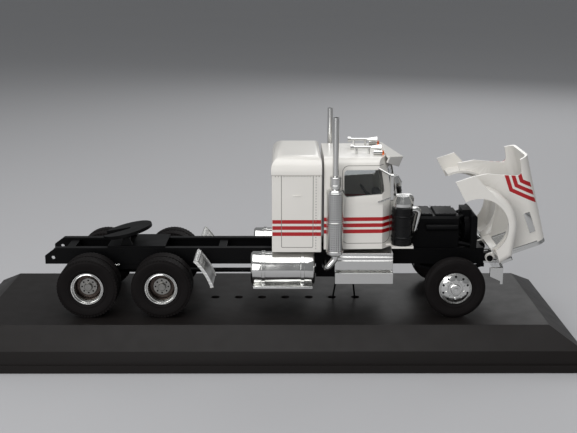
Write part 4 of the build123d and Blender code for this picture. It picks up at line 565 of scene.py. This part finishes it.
def make_finishes():
    """Every finish of the model, by a short key."""
    tint = colours()
    lamp_glass = linear(LAMP_GLASS_COLOUR)[:3]
    finishes = {
        "cab": enamel("Lacquered enamel, cab", cab_stripes, cab_groove_shade),
        "sleeper": enamel("Lacquered enamel, sleeper", sleeper_stripes, sleeper_groove_shade),
        "hood": enamel("Lacquered enamel, hood", hood_stripes),
        "white": enamel("Lacquered enamel, plain"),
        "bright": plated("Plated styrene", haze=0.08),
        "chequer": plated("Plated styrene, chequer plate", haze=0.34, relief=tread_plate),
        "shield": perforated("Plated styrene, pierced shield"),
        "tyre": vinyl("Soft vinyl"),
        "glass": clear_moulding("Clear styrene, windows", tint.glazing, roughness=0.03),
        "lamp": clear_moulding("Clear styrene, fluted lamp glass", lamp_glass, 0.08, LAMP_FLUTE),
        "amber": clear_moulding("Clear styrene, amber", tint.amber, roughness=0.12),
        "steel": dull_metal("Drawn steel", tint.steel),
        "shaded_dish": dull_metal("Plated zinc darkened as painted shade, wheel dishes", tint.shaded_dish),
    }
    for key, name, colour, roughness, sheen, grain, depth in MOULDINGS:
        body_colour = getattr(tint, colour)
        finishes[key] = moulded(name, body_colour, roughness, sheen, grain * MM, depth * MM)
    return finishes


FINISH = {}
SMOOTH_ANGLE = math.radians(32)
WELD = 0.002 * MM
# Segments of round bars, and of the small heads and nuts that repeat
BAR_SEGMENTS = 16
PIN_SEGMENTS = 12
HEAD_SEGMENTS = 8
HEX_SEGMENTS = 6


def new_piece(name, shape, finish, body, replaced=(), fresh=True):
    """A finished piece from a bmesh: linked, shaded, dressed and riding on its body."""
    if fresh:
        bmesh.ops.remove_doubles(shape, verts=shape.verts, dist=WELD)
        bmesh.ops.recalc_face_normals(shape, faces=shape.faces)
    mesh = bpy.data.meshes.new(name)
    shape.to_mesh(mesh)
    shape.free()
    mesh.polygons.foreach_set("use_smooth", [True] * len(mesh.polygons))
    mesh.set_sharp_from_angle(angle=SMOOTH_ANGLE)
    mesh.materials.append(FINISH[finish])
    piece = bpy.data.objects.new(name, mesh)
    bpy.context.scene.collection.objects.link(piece)
    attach(piece, body)
    if replaced:
        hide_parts(*replaced)
    return piece


def turn_profile(shape, profile, centre, axis, steps, closed=False):
    """Turns a profile of radius and distance along the axis, in millimetres, into a round form."""
    side = AHEAD if axis == UPRIGHT else UPRIGHT
    verts = []
    for radius, along in profile:
        verts.append(shape.verts.new(centre + side * (radius * MM) + axis * (along * MM)))
    edges = [shape.edges.new(pair) for pair in zip(verts, verts[1:])]
    if closed:
        edges.append(shape.edges.new((verts[-1], verts[0])))
    bmesh.ops.spin(
        shape, geom=verts + edges, cent=centre, axis=axis, angle=math.tau, steps=steps, use_merge=True
    )


def repeat_round(shape, verts, centre, axis, count):
    """Copies what the vertices carry round an axis, so that there are count of it in all."""
    faces = dict.fromkeys(face for vert in verts for face in vert.link_faces)
    bmesh.ops.spin(
        shape,
        geom=verts + list(faces),
        cent=centre,
        axis=axis,
        angle=math.tau * (count - 1) / count,
        steps=count - 1,
        use_duplicate=True,
    )


def add_rod(shape, start, end, radius, segments=PIN_SEGMENTS, end_radius=None):
    """A round rod or cone between two points. Gives its vertices."""
    run = end - start
    place = Matrix.Translation((start + end) / 2) @ run.to_track_quat("Z", "Y").to_matrix().to_4x4()
    made = bmesh.ops.create_cone(
        shape,
        cap_ends=True,
        segments=segments,
        radius1=radius,
        radius2=radius if end_radius is None else end_radius,
        depth=run.length,
        matrix=place,
    )
    return made["verts"]


def add_block(shape, low, high, rounding=0.0):
    """A box between two corners, its edges rounded. Gives its vertices."""
    size = high - low
    place = Matrix.Translation((low + high) / 2) @ Matrix.Diagonal((*size, 1))
    made = bmesh.ops.create_cube(shape, size=1, matrix=place)
    if not rounding:
        return made["verts"]
    edges = dict.fromkeys(edge for vert in made["verts"] for edge in vert.link_edges)
    soft = bmesh.ops.bevel(
        shape,
        geom=list(edges),
        offset=rounding,
        offset_type="OFFSET",
        segments=2,
        profile=0.5,
        affect="EDGES",
        material=-1,
        clamp_overlap=True,
    )
    return list(dict.fromkeys(vert for face in soft["faces"] for vert in face.verts))


def both_sides(shape):
    """Adds the mirror image of all of it on the other side of the truck."""
    geometry = list(shape.verts) + list(shape.edges) + list(shape.faces)
    bmesh.ops.mirror(shape, geom=geometry, axis="Y", merge_dist=-1.0)


# Radius and distance from the middle of half a tyre's section, from the bead out to the middle groove
TYRE_SIDE = (
    (6.95, 1.75), (7.35, 2.15), (7.9, 2.3), (8.0, 2.48), (8.3, 2.5), (8.4, 2.42), (9.6, 2.72),
    (10.8, 2.86), (11.3, 2.86), (11.4, 2.78), (11.9, 2.7), (12.35, 2.5), (12.62, 2.2), (12.7, 1.85),
    (12.7, 1.3), (12.45, 1.26), (12.45, 1.06), (12.7, 1.02), (12.7, 0.14), (12.45, 0.1),
)
TYRE_STEPS = 72
TREAD_RADIUS = 12.7 * MM
# A shoulder lug's inner and outer radius, its reach across the tyre, and its share of the lugs' pitch
LUG_BOX = (11.7 * MM, 12.62 * MM, 2.05 * MM, 2.72 * MM)
LUG_SHARE = 0.6


def add_tyre(shape, centre, lugs):
    """One grooved tyre about the axle line, with a row of lugs on each shoulder where lugs are asked for."""
    section = [(radius, -along) for radius, along in TYRE_SIDE] + list(reversed(TYRE_SIDE))
    turn_profile(shape, section, centre, LEVEL, TYRE_STEPS, closed=True)
    if not lugs:
        return
    low_r, high_r, inner, outer = LUG_BOX
    half = LUG_SHARE * math.pi * TREAD_RADIUS / lugs
    for sign in (-1, 1):
        near, far = sorted((sign * inner, sign * outer))
        verts = add_block(shape, centre + Vector((-half, near, low_r)), centre + Vector((half, far, high_r)))
        repeat_round(shape, verts, centre, LEVEL, lugs)


# Tyre node, body, tyres side by side
TYRE_NODES = (
    ("front_tyre_right", "front_axle", 1),
    ("front_tyre_left", "front_axle", 1),
    ("drive_front_tyres_right", "drive_axle_front", 2),
    ("drive_front_tyres_left", "drive_axle_front", 2),
    ("drive_rear_tyres_right", "drive_axle_rear", 2),
    ("drive_rear_tyres_left", "drive_axle_rear", 2),
)
TYRE_HALF = 2.9 * MM


class TRACTOR_OT_tyres(bpy.types.Operator):
    """Build the grooved steer tyres and the lugged drive tyres"""

    bl_idname = "tractor.tyres"
    bl_label = "Tyres"

    def execute(self, context):
        for node, body, count in TYRE_NODES:
            low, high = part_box(node)
            middle = (low + high) / 2
            shape = bmesh.new()
            for y in ([middle.y] if count == 1 else [low.y + TYRE_HALF, high.y - TYRE_HALF]):
                centre = Vector((middle.x, y, middle.z))
                add_tyre(shape, centre, sizes().shoulder_lugs if count == 2 else 0)
            new_piece(node + "_tread", shape, "tyre", body, (node,))
        return {"FINISHED"}


# Radius and distance out from the tyre's outer sidewall
STEER_DISC = (
    (6.9, -4.4), (6.92, -1.0), (6.8, -0.62), (6.55, -0.55), (6.35, -0.75), (6.2, -0.95), (6.05, -0.9),
    (5.9, -0.55), (4.6, 0.0), (3.3, 0.12), (3.2, 0.3), (2.9, 0.3), (2.8, 0.15), (2.3, 0.18), (2.2, 1.3),
    (2.0, 1.5), (1.55, 1.55), (1.45, 1.4), (1.1, 1.4), (1.0, 1.6), (0.7, 1.65), (0.6, 1.5), (0.0, 1.5),
)
# The hand holes are not cut: dark discs on the wheel are painted shade in them
HAND_HOLE_CIRCLE = 5.3 * MM
HAND_HOLE_RISE = -0.3 * MM
HAND_HOLE_LEAN = 0.42
HAND_HOLE_RADIUS = 0.5 * MM
HOLE_PROUD = 0.03 * MM
STEER_NUT_CIRCLE = 4.05 * MM
NUT_RADIUS = 0.42 * MM
NUT_HEIGHT = 0.5 * MM


def outer_sidewall(tyre, side):
    """The middle of a tyre node's outer sidewall, and the direction out from it."""
    low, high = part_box(tyre)
    middle = (low + high) / 2
    return Vector((middle.x, (high if side > 0 else low).y, middle.z)), LEVEL * side


class TRACTOR_OT_steer_wheels(bpy.types.Operator):
    """Build the plated steer discs with nuts and hub caps, and dark discs painted as the shade in the hand
    holes
    """

    bl_idname = "tractor.steer_wheels"
    bl_label = "Steer wheels"

    def execute(self, context):
        discs = bmesh.new()
        shaded_holes = bmesh.new()
        count = sizes().wheel_nuts
        for name, side in SIDES:
            centre, axis = outer_sidewall("front_tyre_" + name, side)
            turn_profile(discs, STEER_DISC, centre, axis, TYRE_STEPS)
            foot = centre + UPRIGHT * STEER_NUT_CIRCLE
            rise = axis * NUT_HEIGHT
            nut = add_rod(discs, foot - rise, foot + rise, NUT_RADIUS, HEX_SEGMENTS)
            repeat_round(discs, nut, centre, axis, count)
            seat = centre + UPRIGHT * HAND_HOLE_CIRCLE + axis * HAND_HOLE_RISE
            lean = (axis + UPRIGHT * HAND_HOLE_LEAN).normalized()
            sunk = seat - lean * HAND_HOLE_RADIUS
            hole = add_rod(shaded_holes, sunk, seat + lean * HOLE_PROUD, HAND_HOLE_RADIUS, BAR_SEGMENTS)
            repeat_round(shaded_holes, hole, centre, axis, count)
        new_piece("steer_wheel_discs", discs, "bright", "front_axle", ("front_wheels",))
        # Painted shade: the hand holes are discs in the black moulded finish
        new_piece("steer_wheel_hand_hole_shade", shaded_holes, "chassis", "front_axle")
        return {"FINISHED"}


# Radius and distance in from the outer lip of a drive rim
DRIVE_RIM = (
    (6.5, -10.4), (6.92, -10.5), (6.92, -0.12), (6.8, 0.05), (6.55, 0.05), (6.42, -0.1), (6.3, -0.55),
    (6.15, -0.72), (5.95, -0.62), (5.75, -0.62), (5.62, -0.8), (5.45, -3.2),
)
DRIVE_DISH = ((5.48, -3.15), (5.3, -4.4), (5.0, -4.65), (3.6, -4.65))
DRIVE_HUB = (
    (3.75, -4.7), (3.75, -3.6), (3.55, -3.4), (1.75, -3.4), (1.65, -2.4), (1.45, -2.15), (0.0, -2.15),
)
DRIVE_PLATE_DEPTH = 3.4 * MM
DRIVE_NUT_CIRCLE = 2.7 * MM
DRIVE_NUT_RADIUS = 0.36 * MM
DRIVE_NUTS = 8
RIM_LIP_INSET = 0.6 * MM


class TRACTOR_OT_drive_wheels(bpy.types.Operator):
    """Build the deep drive rims with their dishes and hub plates, and dark discs painted as the shade in the
    nut holes
    """

    bl_idname = "tractor.drive_wheels"
    bl_label = "Drive wheels"

    def execute(self, context):
        for axle in ("front", "rear"):
            rims, dishes, hubs, shaded_holes = bmesh.new(), bmesh.new(), bmesh.new(), bmesh.new()
            replaced = []
            for name, side in SIDES:
                sidewall, axis = outer_sidewall(f"drive_{axle}_tyres_{name}", side)
                centre = sidewall - axis * RIM_LIP_INSET
                for shape, profile in ((rims, DRIVE_RIM), (dishes, DRIVE_DISH), (hubs, DRIVE_HUB)):
                    turn_profile(shape, profile, centre, axis, TYRE_STEPS)
                seat = centre + UPRIGHT * DRIVE_NUT_CIRCLE - axis * DRIVE_PLATE_DEPTH
                sunk = seat - axis * DRIVE_NUT_RADIUS
                hole = add_rod(shaded_holes, sunk, seat + axis * HOLE_PROUD, DRIVE_NUT_RADIUS)
                repeat_round(shaded_holes, hole, centre, axis, DRIVE_NUTS)
                replaced.append(f"drive_{axle}_wheel_{name}")
            body = "drive_axle_" + axle
            new_piece(f"drive_{axle}_rims", rims, "bright", body, replaced)
            # Painted shade: the dishes' darker metal stands for the shade deep inside the wheel
            new_piece(f"drive_{axle}_dishes", dishes, "shaded_dish", body)
            new_piece(f"drive_{axle}_hubs", hubs, "steel", body)
            # Painted shade: the nut holes are discs in the black moulded finish
            new_piece(f"drive_{axle}_nut_hole_shade", shaded_holes, "chassis", body)
        return {"FINISHED"}


# Faces that lie this near to flat are one face, and edges sharper than the second angle are rounded
FLAT_ANGLE = math.radians(0.4)
HARD_ANGLE = math.radians(35)


def softened(node, finish, body, rounding):
    """A merged copy of a CAD node with its hard edges rounded, shown in the node's place."""
    shape = bmesh.new()
    shape.from_mesh(NODES[node].data)
    bmesh.ops.remove_doubles(shape, verts=shape.verts, dist=WELD)
    bmesh.ops.dissolve_limit(
        shape, angle_limit=FLAT_ANGLE, verts=shape.verts, edges=shape.edges, delimit=set()
    )
    piece = new_piece(node + "_dressed", shape, finish, body, (node,), fresh=False)
    bevel = piece.modifiers.new("Rounded edges", "BEVEL")
    bevel.width = rounding
    bevel.segments = 2
    bevel.limit_method = "ANGLE"
    bevel.angle_limit = HARD_ANGLE
    bevel.harden_normals = True


# Node, finish, body, material slot, share of the common edge rounding
DRESSED_NODES = (
    ("sleeper_body", "sleeper", "model", "white_paint", 2.0),
    ("sleeper_roof", "white", "model", "white_paint", 1.0),
    ("cab_shell", "cab", "model", "white_paint", 1.2),
    ("sun_visor", "white", "model", "white_paint", 1.0),
    ("step_box_left", "bright", "model", "chrome", 0.8),
    ("step_box_right", "bright", "model", "chrome", 0.8),
    ("rail_left", "chassis", "model", "black_plastic", 0.6),
    ("rail_right", "chassis", "model", "black_plastic", 0.6),
    ("plinth", "plinth", "model", "plinth_plastic", 1.6),
    ("engine", "chassis", "model", "black_plastic", 1.0),
    ("engine_covers", "chassis", "model", "black_plastic", 1.0),
    ("radiator", "chassis", "model", "black_plastic", 0.8),
    ("cross_members", "chassis", "model", "black_plastic", 0.6),
    ("fifth_wheel_base", "chassis", "model", "black_plastic", 0.8),
    ("fifth_wheel_plate", "chassis", "fifth_wheel", "black_plastic", 1.0),
    ("hood_shell", "hood", "hood", "white_paint", 1.2),
    ("bumper", "bright", "model", "chrome", 0.8),
    ("fuel_tank_left", "bright", "model", "chrome", 0.5),
    ("fuel_tank_right", "bright", "model", "chrome", 0.5),
    ("mudguard_left", "chequer", "model", "chrome", 0.8),
    ("mudguard_right", "chequer", "model", "chrome", 0.8),
    ("mirrors", "bright", "model", "chrome", 0.5),
)


class TRACTOR_OT_dressed_nodes(bpy.types.Operator):
    """Round the edges of the cast and moulded boxes and give them their finish"""

    bl_idname = "tractor.dressed_nodes"
    bl_label = "Castings and mouldings"

    def execute(self, context):
        for node, finish, body, slot, share in DRESSED_NODES:
            softened(node, finish, body, share * sizes().edge_round)
        return {"FINISHED"}


# Finish, and the CAD nodes that keep their shape and take it
NODE_FINISHES = (
    ("chassis", ("front_axle_beam", "drive_housings", "tandem_suspension", "engine_manifolds")),
    ("chassis", ("propeller_shafts", "hinge_brackets", "cab_pads", "tie_wire")),
    ("gloss", ("air_cleaner_left", "air_cleaner_right")),
    ("bright", ("air_cleaner_caps", "intake_pipes", "grille", "roof_horns", "marker_housings")),
    ("shield", ("exhaust_stack_left", "exhaust_stack_right")),
    ("glass", ("cab_glass",)),
    ("cabin", ("cab_interior", "steering_wheel")),
    ("lamp", ("headlamps",)),
    ("amber", ("marker_lenses",)),
    ("steel", ("front_rod", "drive_front_rod", "drive_rear_rod")),
)


class TRACTOR_OT_node_finishes(bpy.types.Operator):
    """Give the carried-over solids their finishes"""

    bl_idname = "tractor.node_finishes"
    bl_label = "Finishes of the solids"

    def execute(self, context):
        for finish, nodes in NODE_FINISHES:
            for node in nodes:
                NODES[node].data.materials.clear()
                NODES[node].data.materials.append(FINISH[finish])
        return {"FINISHED"}


def on_deck(x, y, z):
    """A place by its millimetres on the truck, with its height above the plinth's deck."""
    return Vector((x, y, z)) * MM + UPRIGHT * DECK


# How far a domed head narrows to its top
HEAD_TOP_SHARE = 0.6


def add_row(shape, first, last, pitch, out, radius, height, segments=HEAD_SEGMENTS):
    """A straight row of low domed heads that stand out from a surface."""
    run = last - first
    count = max(1, round(run.length / pitch))
    for step in range(count + 1):
        foot = first + run * step / count
        rise = out * height
        add_rod(shape, foot - rise, foot + rise, radius, segments, HEAD_TOP_SHARE * radius)


# Rows of rivets on the sleeper's side: X and Z of the first and the last
SLEEPER_RIVETS = (
    ((22.2, 29.4), (22.2, 59.0)),
    ((5.4, 60.1), (23.4, 60.1)),
)
SLEEPER_LATCH = ((12.7, 51.75), (16.1, 52.25))
LATCH_PROUD = 0.25
LATCH_ROUND = 0.1 * MM
RIVET_HEIGHT = 0.2 * MM


class TRACTOR_OT_sleeper_trim(bpy.types.Operator):
    """Add the rivet rows and the hatch latches on the sleeper's sides"""

    bl_idname = "tractor.sleeper_trim"
    bl_label = "Sleeper trim"

    def execute(self, context):
        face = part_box("sleeper_body")[1].y / MM
        shape = bmesh.new()
        for (first_x, first_z), (last_x, last_z) in SLEEPER_RIVETS:
            ends = (on_deck(first_x, face, first_z), on_deck(last_x, face, last_z))
            add_row(shape, *ends, sizes().rivet_pitch, LEVEL, sizes().rivet_radius, RIVET_HEIGHT)
        both_sides(shape)
        # The rivets take the grey steel so that they show darker than the white side: painted shade for heads
        # too small to catch their own
        new_piece("sleeper_rivets", shape, "steel", "model")
        (rear, low), (front, high) = SLEEPER_LATCH
        shape = bmesh.new()
        sunk = on_deck(rear, face - LATCH_PROUD, low)
        add_block(shape, sunk, on_deck(front, face + LATCH_PROUD, high), LATCH_ROUND)
        both_sides(shape)
        new_piece("sleeper_latches", shape, "white", "model")
        return {"FINISHED"}


# Blank plate on each side of the hood, in the closed state
HOOD_PLATE_SIZE = Vector((9.2, 0.7, 2.6)) * MM
HOOD_PLATE_PLACE = on_deck(87.3, 15.05, 42.0)
HOOD_TAPER = math.atan2(HOOD_REAR.y - HOOD_FRONT.y, HOOD_FRONT.x - HOOD_REAR.x)
# Bright strip down each front edge of the hood, from its low inner to its high outer corner
HOOD_STRIP = ((96.1, 14.4, 25.8), (97.25, 14.9, 42.8))
LAMP_SIZE = Vector((1.1, 7.6, 4.4)) * MM
LAMP_Y = 20.4 * MM
BEZEL_WIDTH = 0.5 * MM
BEZEL_PROUD = 0.2 * MM
TRIM_ROUND = 0.15 * MM


class TRACTOR_OT_hood_trim(bpy.types.Operator):
    """Add the blank side plates, the front strips and the headlamp bezels to the hood"""

    bl_idname = "tractor.hood_trim"
    bl_label = "Hood trim"

    def execute(self, context):
        shape = bmesh.new()
        plate = add_block(shape, -HOOD_PLATE_SIZE / 2, HOOD_PLATE_SIZE / 2, TRIM_ROUND)
        slewed = Matrix.Translation(HOOD_PLATE_PLACE) @ Matrix.Rotation(-HOOD_TAPER, 4, "Z")
        bmesh.ops.transform(shape, matrix=slewed, verts=plate)
        low, high = HOOD_STRIP
        add_block(shape, on_deck(*low), on_deck(*high), TRIM_ROUND)
        low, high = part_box("headlamps")
        lamp = HOOD_TURN.inverted() @ ((low + high) / 2) + LEVEL * LAMP_Y
        half = LAMP_SIZE / 2 + Vector((BEZEL_PROUD, 0, 0))
        for sign in (-1, 1):
            beside = Vector((0, sign * (half.y + BEZEL_WIDTH / 2), 0))
            span = Vector((half.x, BEZEL_WIDTH / 2, half.z)) + Vector((0, 0, BEZEL_WIDTH))
            add_block(shape, lamp + beside - span, lamp + beside + span, TRIM_ROUND)
            above = Vector((0, 0, sign * (half.z + BEZEL_WIDTH / 2)))
            span = Vector((half.x, half.y, BEZEL_WIDTH / 2)) + Vector((0, BEZEL_WIDTH, 0))
            add_block(shape, lamp + above - span, lamp + above + span, TRIM_ROUND)
        both_sides(shape)
        bmesh.ops.transform(shape, matrix=HOOD_TURN, verts=shape.verts)
        new_piece("hood_plates_and_bezels", shape, "bright", "hood")
        return {"FINISHED"}


# Wiper arm and blade: Y and Z of each end on the windscreen
WIPER_ARM = ((8.4, 49.0), (6.3, 56.4))
WIPER_BLADE = ((7.8, 51.6), (4.9, 60.4))
WIPER_RADIUS = 0.2 * MM
WIPER_PIVOT_RADIUS = 0.5 * MM
WIPER_OFF = 0.35
# The windscreen: X and Z of its low front point, and its slopes back by width and by height
SCREEN_NOSE = (58.3, 47.8)
SCREEN_SWEEP = 3.9 / 18.0
SCREEN_LEAN = 3.6 / 19.2


def on_screen(y, z):
    """A place just ahead of the windscreen, which is swept back and leans back."""
    nose_x, nose_z = SCREEN_NOSE
    return on_deck(nose_x - SCREEN_SWEEP * y - SCREEN_LEAN * (z - nose_z) + WIPER_OFF, y, z)


class TRACTOR_OT_wipers(bpy.types.Operator):
    """Add the two wipers on the split windscreen"""

    bl_idname = "tractor.wipers"
    bl_label = "Wipers"

    def execute(self, context):
        shape = bmesh.new()
        for start, end in (WIPER_ARM, WIPER_BLADE):
            add_rod(shape, on_screen(*start), on_screen(*end), WIPER_RADIUS, HEAD_SEGMENTS)
        pivot = on_screen(*WIPER_ARM[0])
        sunk = pivot - AHEAD * WIPER_OFF * 2 * MM
        add_rod(shape, sunk, pivot + AHEAD * WIPER_RADIUS, WIPER_PIVOT_RADIUS)
        both_sides(shape)
        new_piece("wipers", shape, "chassis", "model")
        return {"FINISHED"}


# Bands: name, X and Y, radius of what they clasp, their low edges, finish, material slot
BANDS = (
    ("stack_bands", STACK_PLACE, 3.5, (28.9, 41.3, 53.6), "bright", "chrome"),
    ("stack_clamp_bands", STACK_PLACE, 2.2, (56.7, 59.8), "bright", "chrome"),
    ("air_cleaner_bands", (58.4, 21.0), 4.5, (33.6, 42.6), "gloss", "black_plastic"),
)
BAND_HEIGHT = 0.8
BAND_RISE = 0.16
BAND_SUNK = 0.05
BAND_EDGE = 0.2
BAND_STEPS = 48


class TRACTOR_OT_bands(bpy.types.Operator):
    """Add the clamp bands on the exhaust shields and the air cleaners"""

    bl_idname = "tractor.bands"
    bl_label = "Clamp bands"

    def execute(self, context):
        for name, place, radius, lows, finish, slot in BANDS:
            shape = bmesh.new()
            inner = radius - BAND_SUNK
            outer = radius + BAND_RISE
            ring = ((inner, 0), (outer, BAND_EDGE), (outer, BAND_HEIGHT - BAND_EDGE), (inner, BAND_HEIGHT))
            for low in lows:
                turn_profile(shape, ring, on_deck(*place, low), UPRIGHT, BAND_STEPS)
            both_sides(shape)
            new_piece(name, shape, finish, "model")
        return {"FINISHED"}


# Rows of bolt heads: on the rails by X and Z of the first, on the engine's covers by both ends
RAIL_BOLTS = ((-90.0, 20.3), (-90.0, 23.9))
RAIL_BOLT_END = 56.0
BOLT_PITCH = 7.3 * MM
BOLT_RADIUS = 0.4 * MM
BOLT_HEIGHT = 0.3 * MM
COVER_BOLTS = ((65.0, 6.9, 40.3), (83.0, 6.9, 40.3))
COVER_BOLT_PITCH = 2.25 * MM
COVER_BOLT_RADIUS = 0.28 * MM
COVER_BOLT_HEIGHT = 0.14 * MM
# Hoses between engine and radiator: both ends and radius
HOSES = (
    ((83.6, 5.4, 37.2), (87.6, 4.2, 39.0), 0.8),
    ((83.6, 7.4, 27.6), (90.0, 8.6, 26.6), 0.9),
)


class TRACTOR_OT_bolts_and_hoses(bpy.types.Operator):
    """Add the bolt heads on the rails and covers, and the radiator's hoses"""

    bl_idname = "tractor.bolts_and_hoses"
    bl_label = "Bolts and hoses"

    def execute(self, context):
        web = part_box("rail_left")[1].y / MM
        shape = bmesh.new()
        for x, z in RAIL_BOLTS:
            ends = (on_deck(x, web, z), on_deck(RAIL_BOLT_END, web, z))
            add_row(shape, *ends, BOLT_PITCH, LEVEL, BOLT_RADIUS, BOLT_HEIGHT, HEX_SEGMENTS)
        ends = [on_deck(*place) for place in COVER_BOLTS]
        add_row(shape, *ends, COVER_BOLT_PITCH, UPRIGHT, COVER_BOLT_RADIUS, COVER_BOLT_HEIGHT, HEX_SEGMENTS)
        for start, end, radius in HOSES:
            add_rod(shape, on_deck(*start), on_deck(*end), radius * MM, BAR_SEGMENTS)
        both_sides(shape)
        new_piece("bolts_and_hoses", shape, "chassis", "model")
        return {"FINISHED"}


FLOOR_REACH = 20.0
FLOOR_COLOUR = "B2B2B4"
FLOOR_PATCH = 0.4
FLOOR_SHADE = 0.97
# Name, place, aimed at, size in metres, watts
LAMPS = (
    ("Top softbox", (-0.05, -0.1, 0.75), (0, 0, 0.05), 0.7, 3.5),
    ("Front softbox", (-0.35, -0.8, 0.36), (0.02, 0, 0.05), 0.6, 4.4),
    ("Rear softbox", (0.3, 0.7, 0.55), (0, 0, 0.06), 0.6, 2.0),
)
WORLD_COLOUR = "E6E8EA"
WORLD_STRENGTH = 0.3


class TRACTOR_OT_stage(bpy.types.Operator):
    """Set the pale floor, the soft lamps and the photograph's camera"""

    bl_idname = "tractor.stage"
    bl_label = "Stage"

    def execute(self, context):
        scene = context.scene
        shape = bmesh.new()
        bmesh.ops.create_grid(shape, x_segments=1, y_segments=1, size=FLOOR_REACH)
        mesh = bpy.data.meshes.new("floor")
        shape.to_mesh(mesh)
        shape.free()
        floor = bpy.data.objects.new("floor", mesh)
        scene.collection.objects.link(floor)
        material, tree, shader, place = new_finish("Matt paper", Roughness=0.9)
        tone = add_node(
            tree, "ShaderNodeTexNoise", {"Vector": place, "Scale": 1 / FLOOR_PATCH, "Detail": 1.0}
        )
        paper = linear(FLOOR_COLOUR)
        pale = add_node(
            tree,
            "ShaderNodeMix",
            {0: tone.outputs[0], 6: paper, 7: shaded(paper[:3], FLOOR_SHADE)},
            data_type="RGBA",
        )
        tree.links.new(pale.outputs[2], shader.inputs["Base Color"])
        mesh.materials.append(material)
        for name, spot, aim, size, watts in LAMPS:
            light = bpy.data.lights.new(name, "AREA")
            light.shape = "SQUARE"
            light.size = size
            light.energy = watts
            lamp = bpy.data.objects.new(name, light)
            lamp.location = spot
            lamp.rotation_euler = (Vector(aim) - Vector(spot)).to_track_quat("-Z", "Y").to_euler()
            scene.collection.objects.link(lamp)
        world = bpy.data.worlds.new("Studio")
        world.use_nodes = True
        sky = world.node_tree.nodes["Background"]
        sky.inputs["Color"].default_value = linear(WORLD_COLOUR)
        sky.inputs["Strength"].default_value = WORLD_STRENGTH
        scene.world = world
        data = bpy.data.cameras.new("Camera")
        data.sensor_width = SENSOR_WIDTH
        data.lens = FOCAL_PIXELS * SENSOR_WIDTH / PHOTO_WIDTH
        camera = bpy.data.objects.new("Camera", data)
        camera.location = CAMERA_PLACE
        camera.rotation_euler = (math.pi / 2 - CAMERA_PITCH, 0, -CAMERA_YAW)
        scene.collection.objects.link(camera)
        scene.camera = camera
        scene.view_settings.view_transform = "Standard"
        return {"FINISHED"}


OPERATORS = (
    TRACTOR_OT_node_finishes,
    TRACTOR_OT_dressed_nodes,
    TRACTOR_OT_tyres,
    TRACTOR_OT_steer_wheels,
    TRACTOR_OT_drive_wheels,
    TRACTOR_OT_sleeper_trim,
    TRACTOR_OT_hood_trim,
    TRACTOR_OT_wipers,
    TRACTOR_OT_bands,
    TRACTOR_OT_bolts_and_hoses,
    TRACTOR_OT_stage,
)


class TRACTOR_PT_sidebar(bpy.types.Panel):
    """Lists the steps that dress the model"""

    bl_idname = "TRACTOR_PT_sidebar"
    bl_label = "Tractor model"
    bl_space_type = "VIEW_3D"
    bl_region_type = "UI"
    bl_category = "Tractor"

    def draw(self, context):
        for group in (context.scene.tractor_colours, context.scene.tractor_sizes):
            for key in group.bl_rna.properties.keys():
                if key not in ("rna_type", "name"):
                    self.layout.prop(group, key)
        for operator in OPERATORS:
            self.layout.operator(operator.bl_idname)


CLASSES = (TractorColours, TractorSizes, *OPERATORS, TRACTOR_PT_sidebar)


def register():
    for cls in CLASSES:
        bpy.utils.register_class(cls)
    bpy.types.Scene.tractor_colours = PointerProperty(type=TractorColours)
    bpy.types.Scene.tractor_sizes = PointerProperty(type=TractorSizes)


def unregister():
    del bpy.types.Scene.tractor_sizes
    del bpy.types.Scene.tractor_colours
    for cls in reversed(CLASSES):
        bpy.utils.unregister_class(cls)


def main():
    register()
    FINISH.update(make_finishes())
    for operator in OPERATORS:
        group, name = operator.bl_idname.split(".")
        getattr(getattr(bpy.ops, group), name)()


if __name__ == "__main__":
    main()
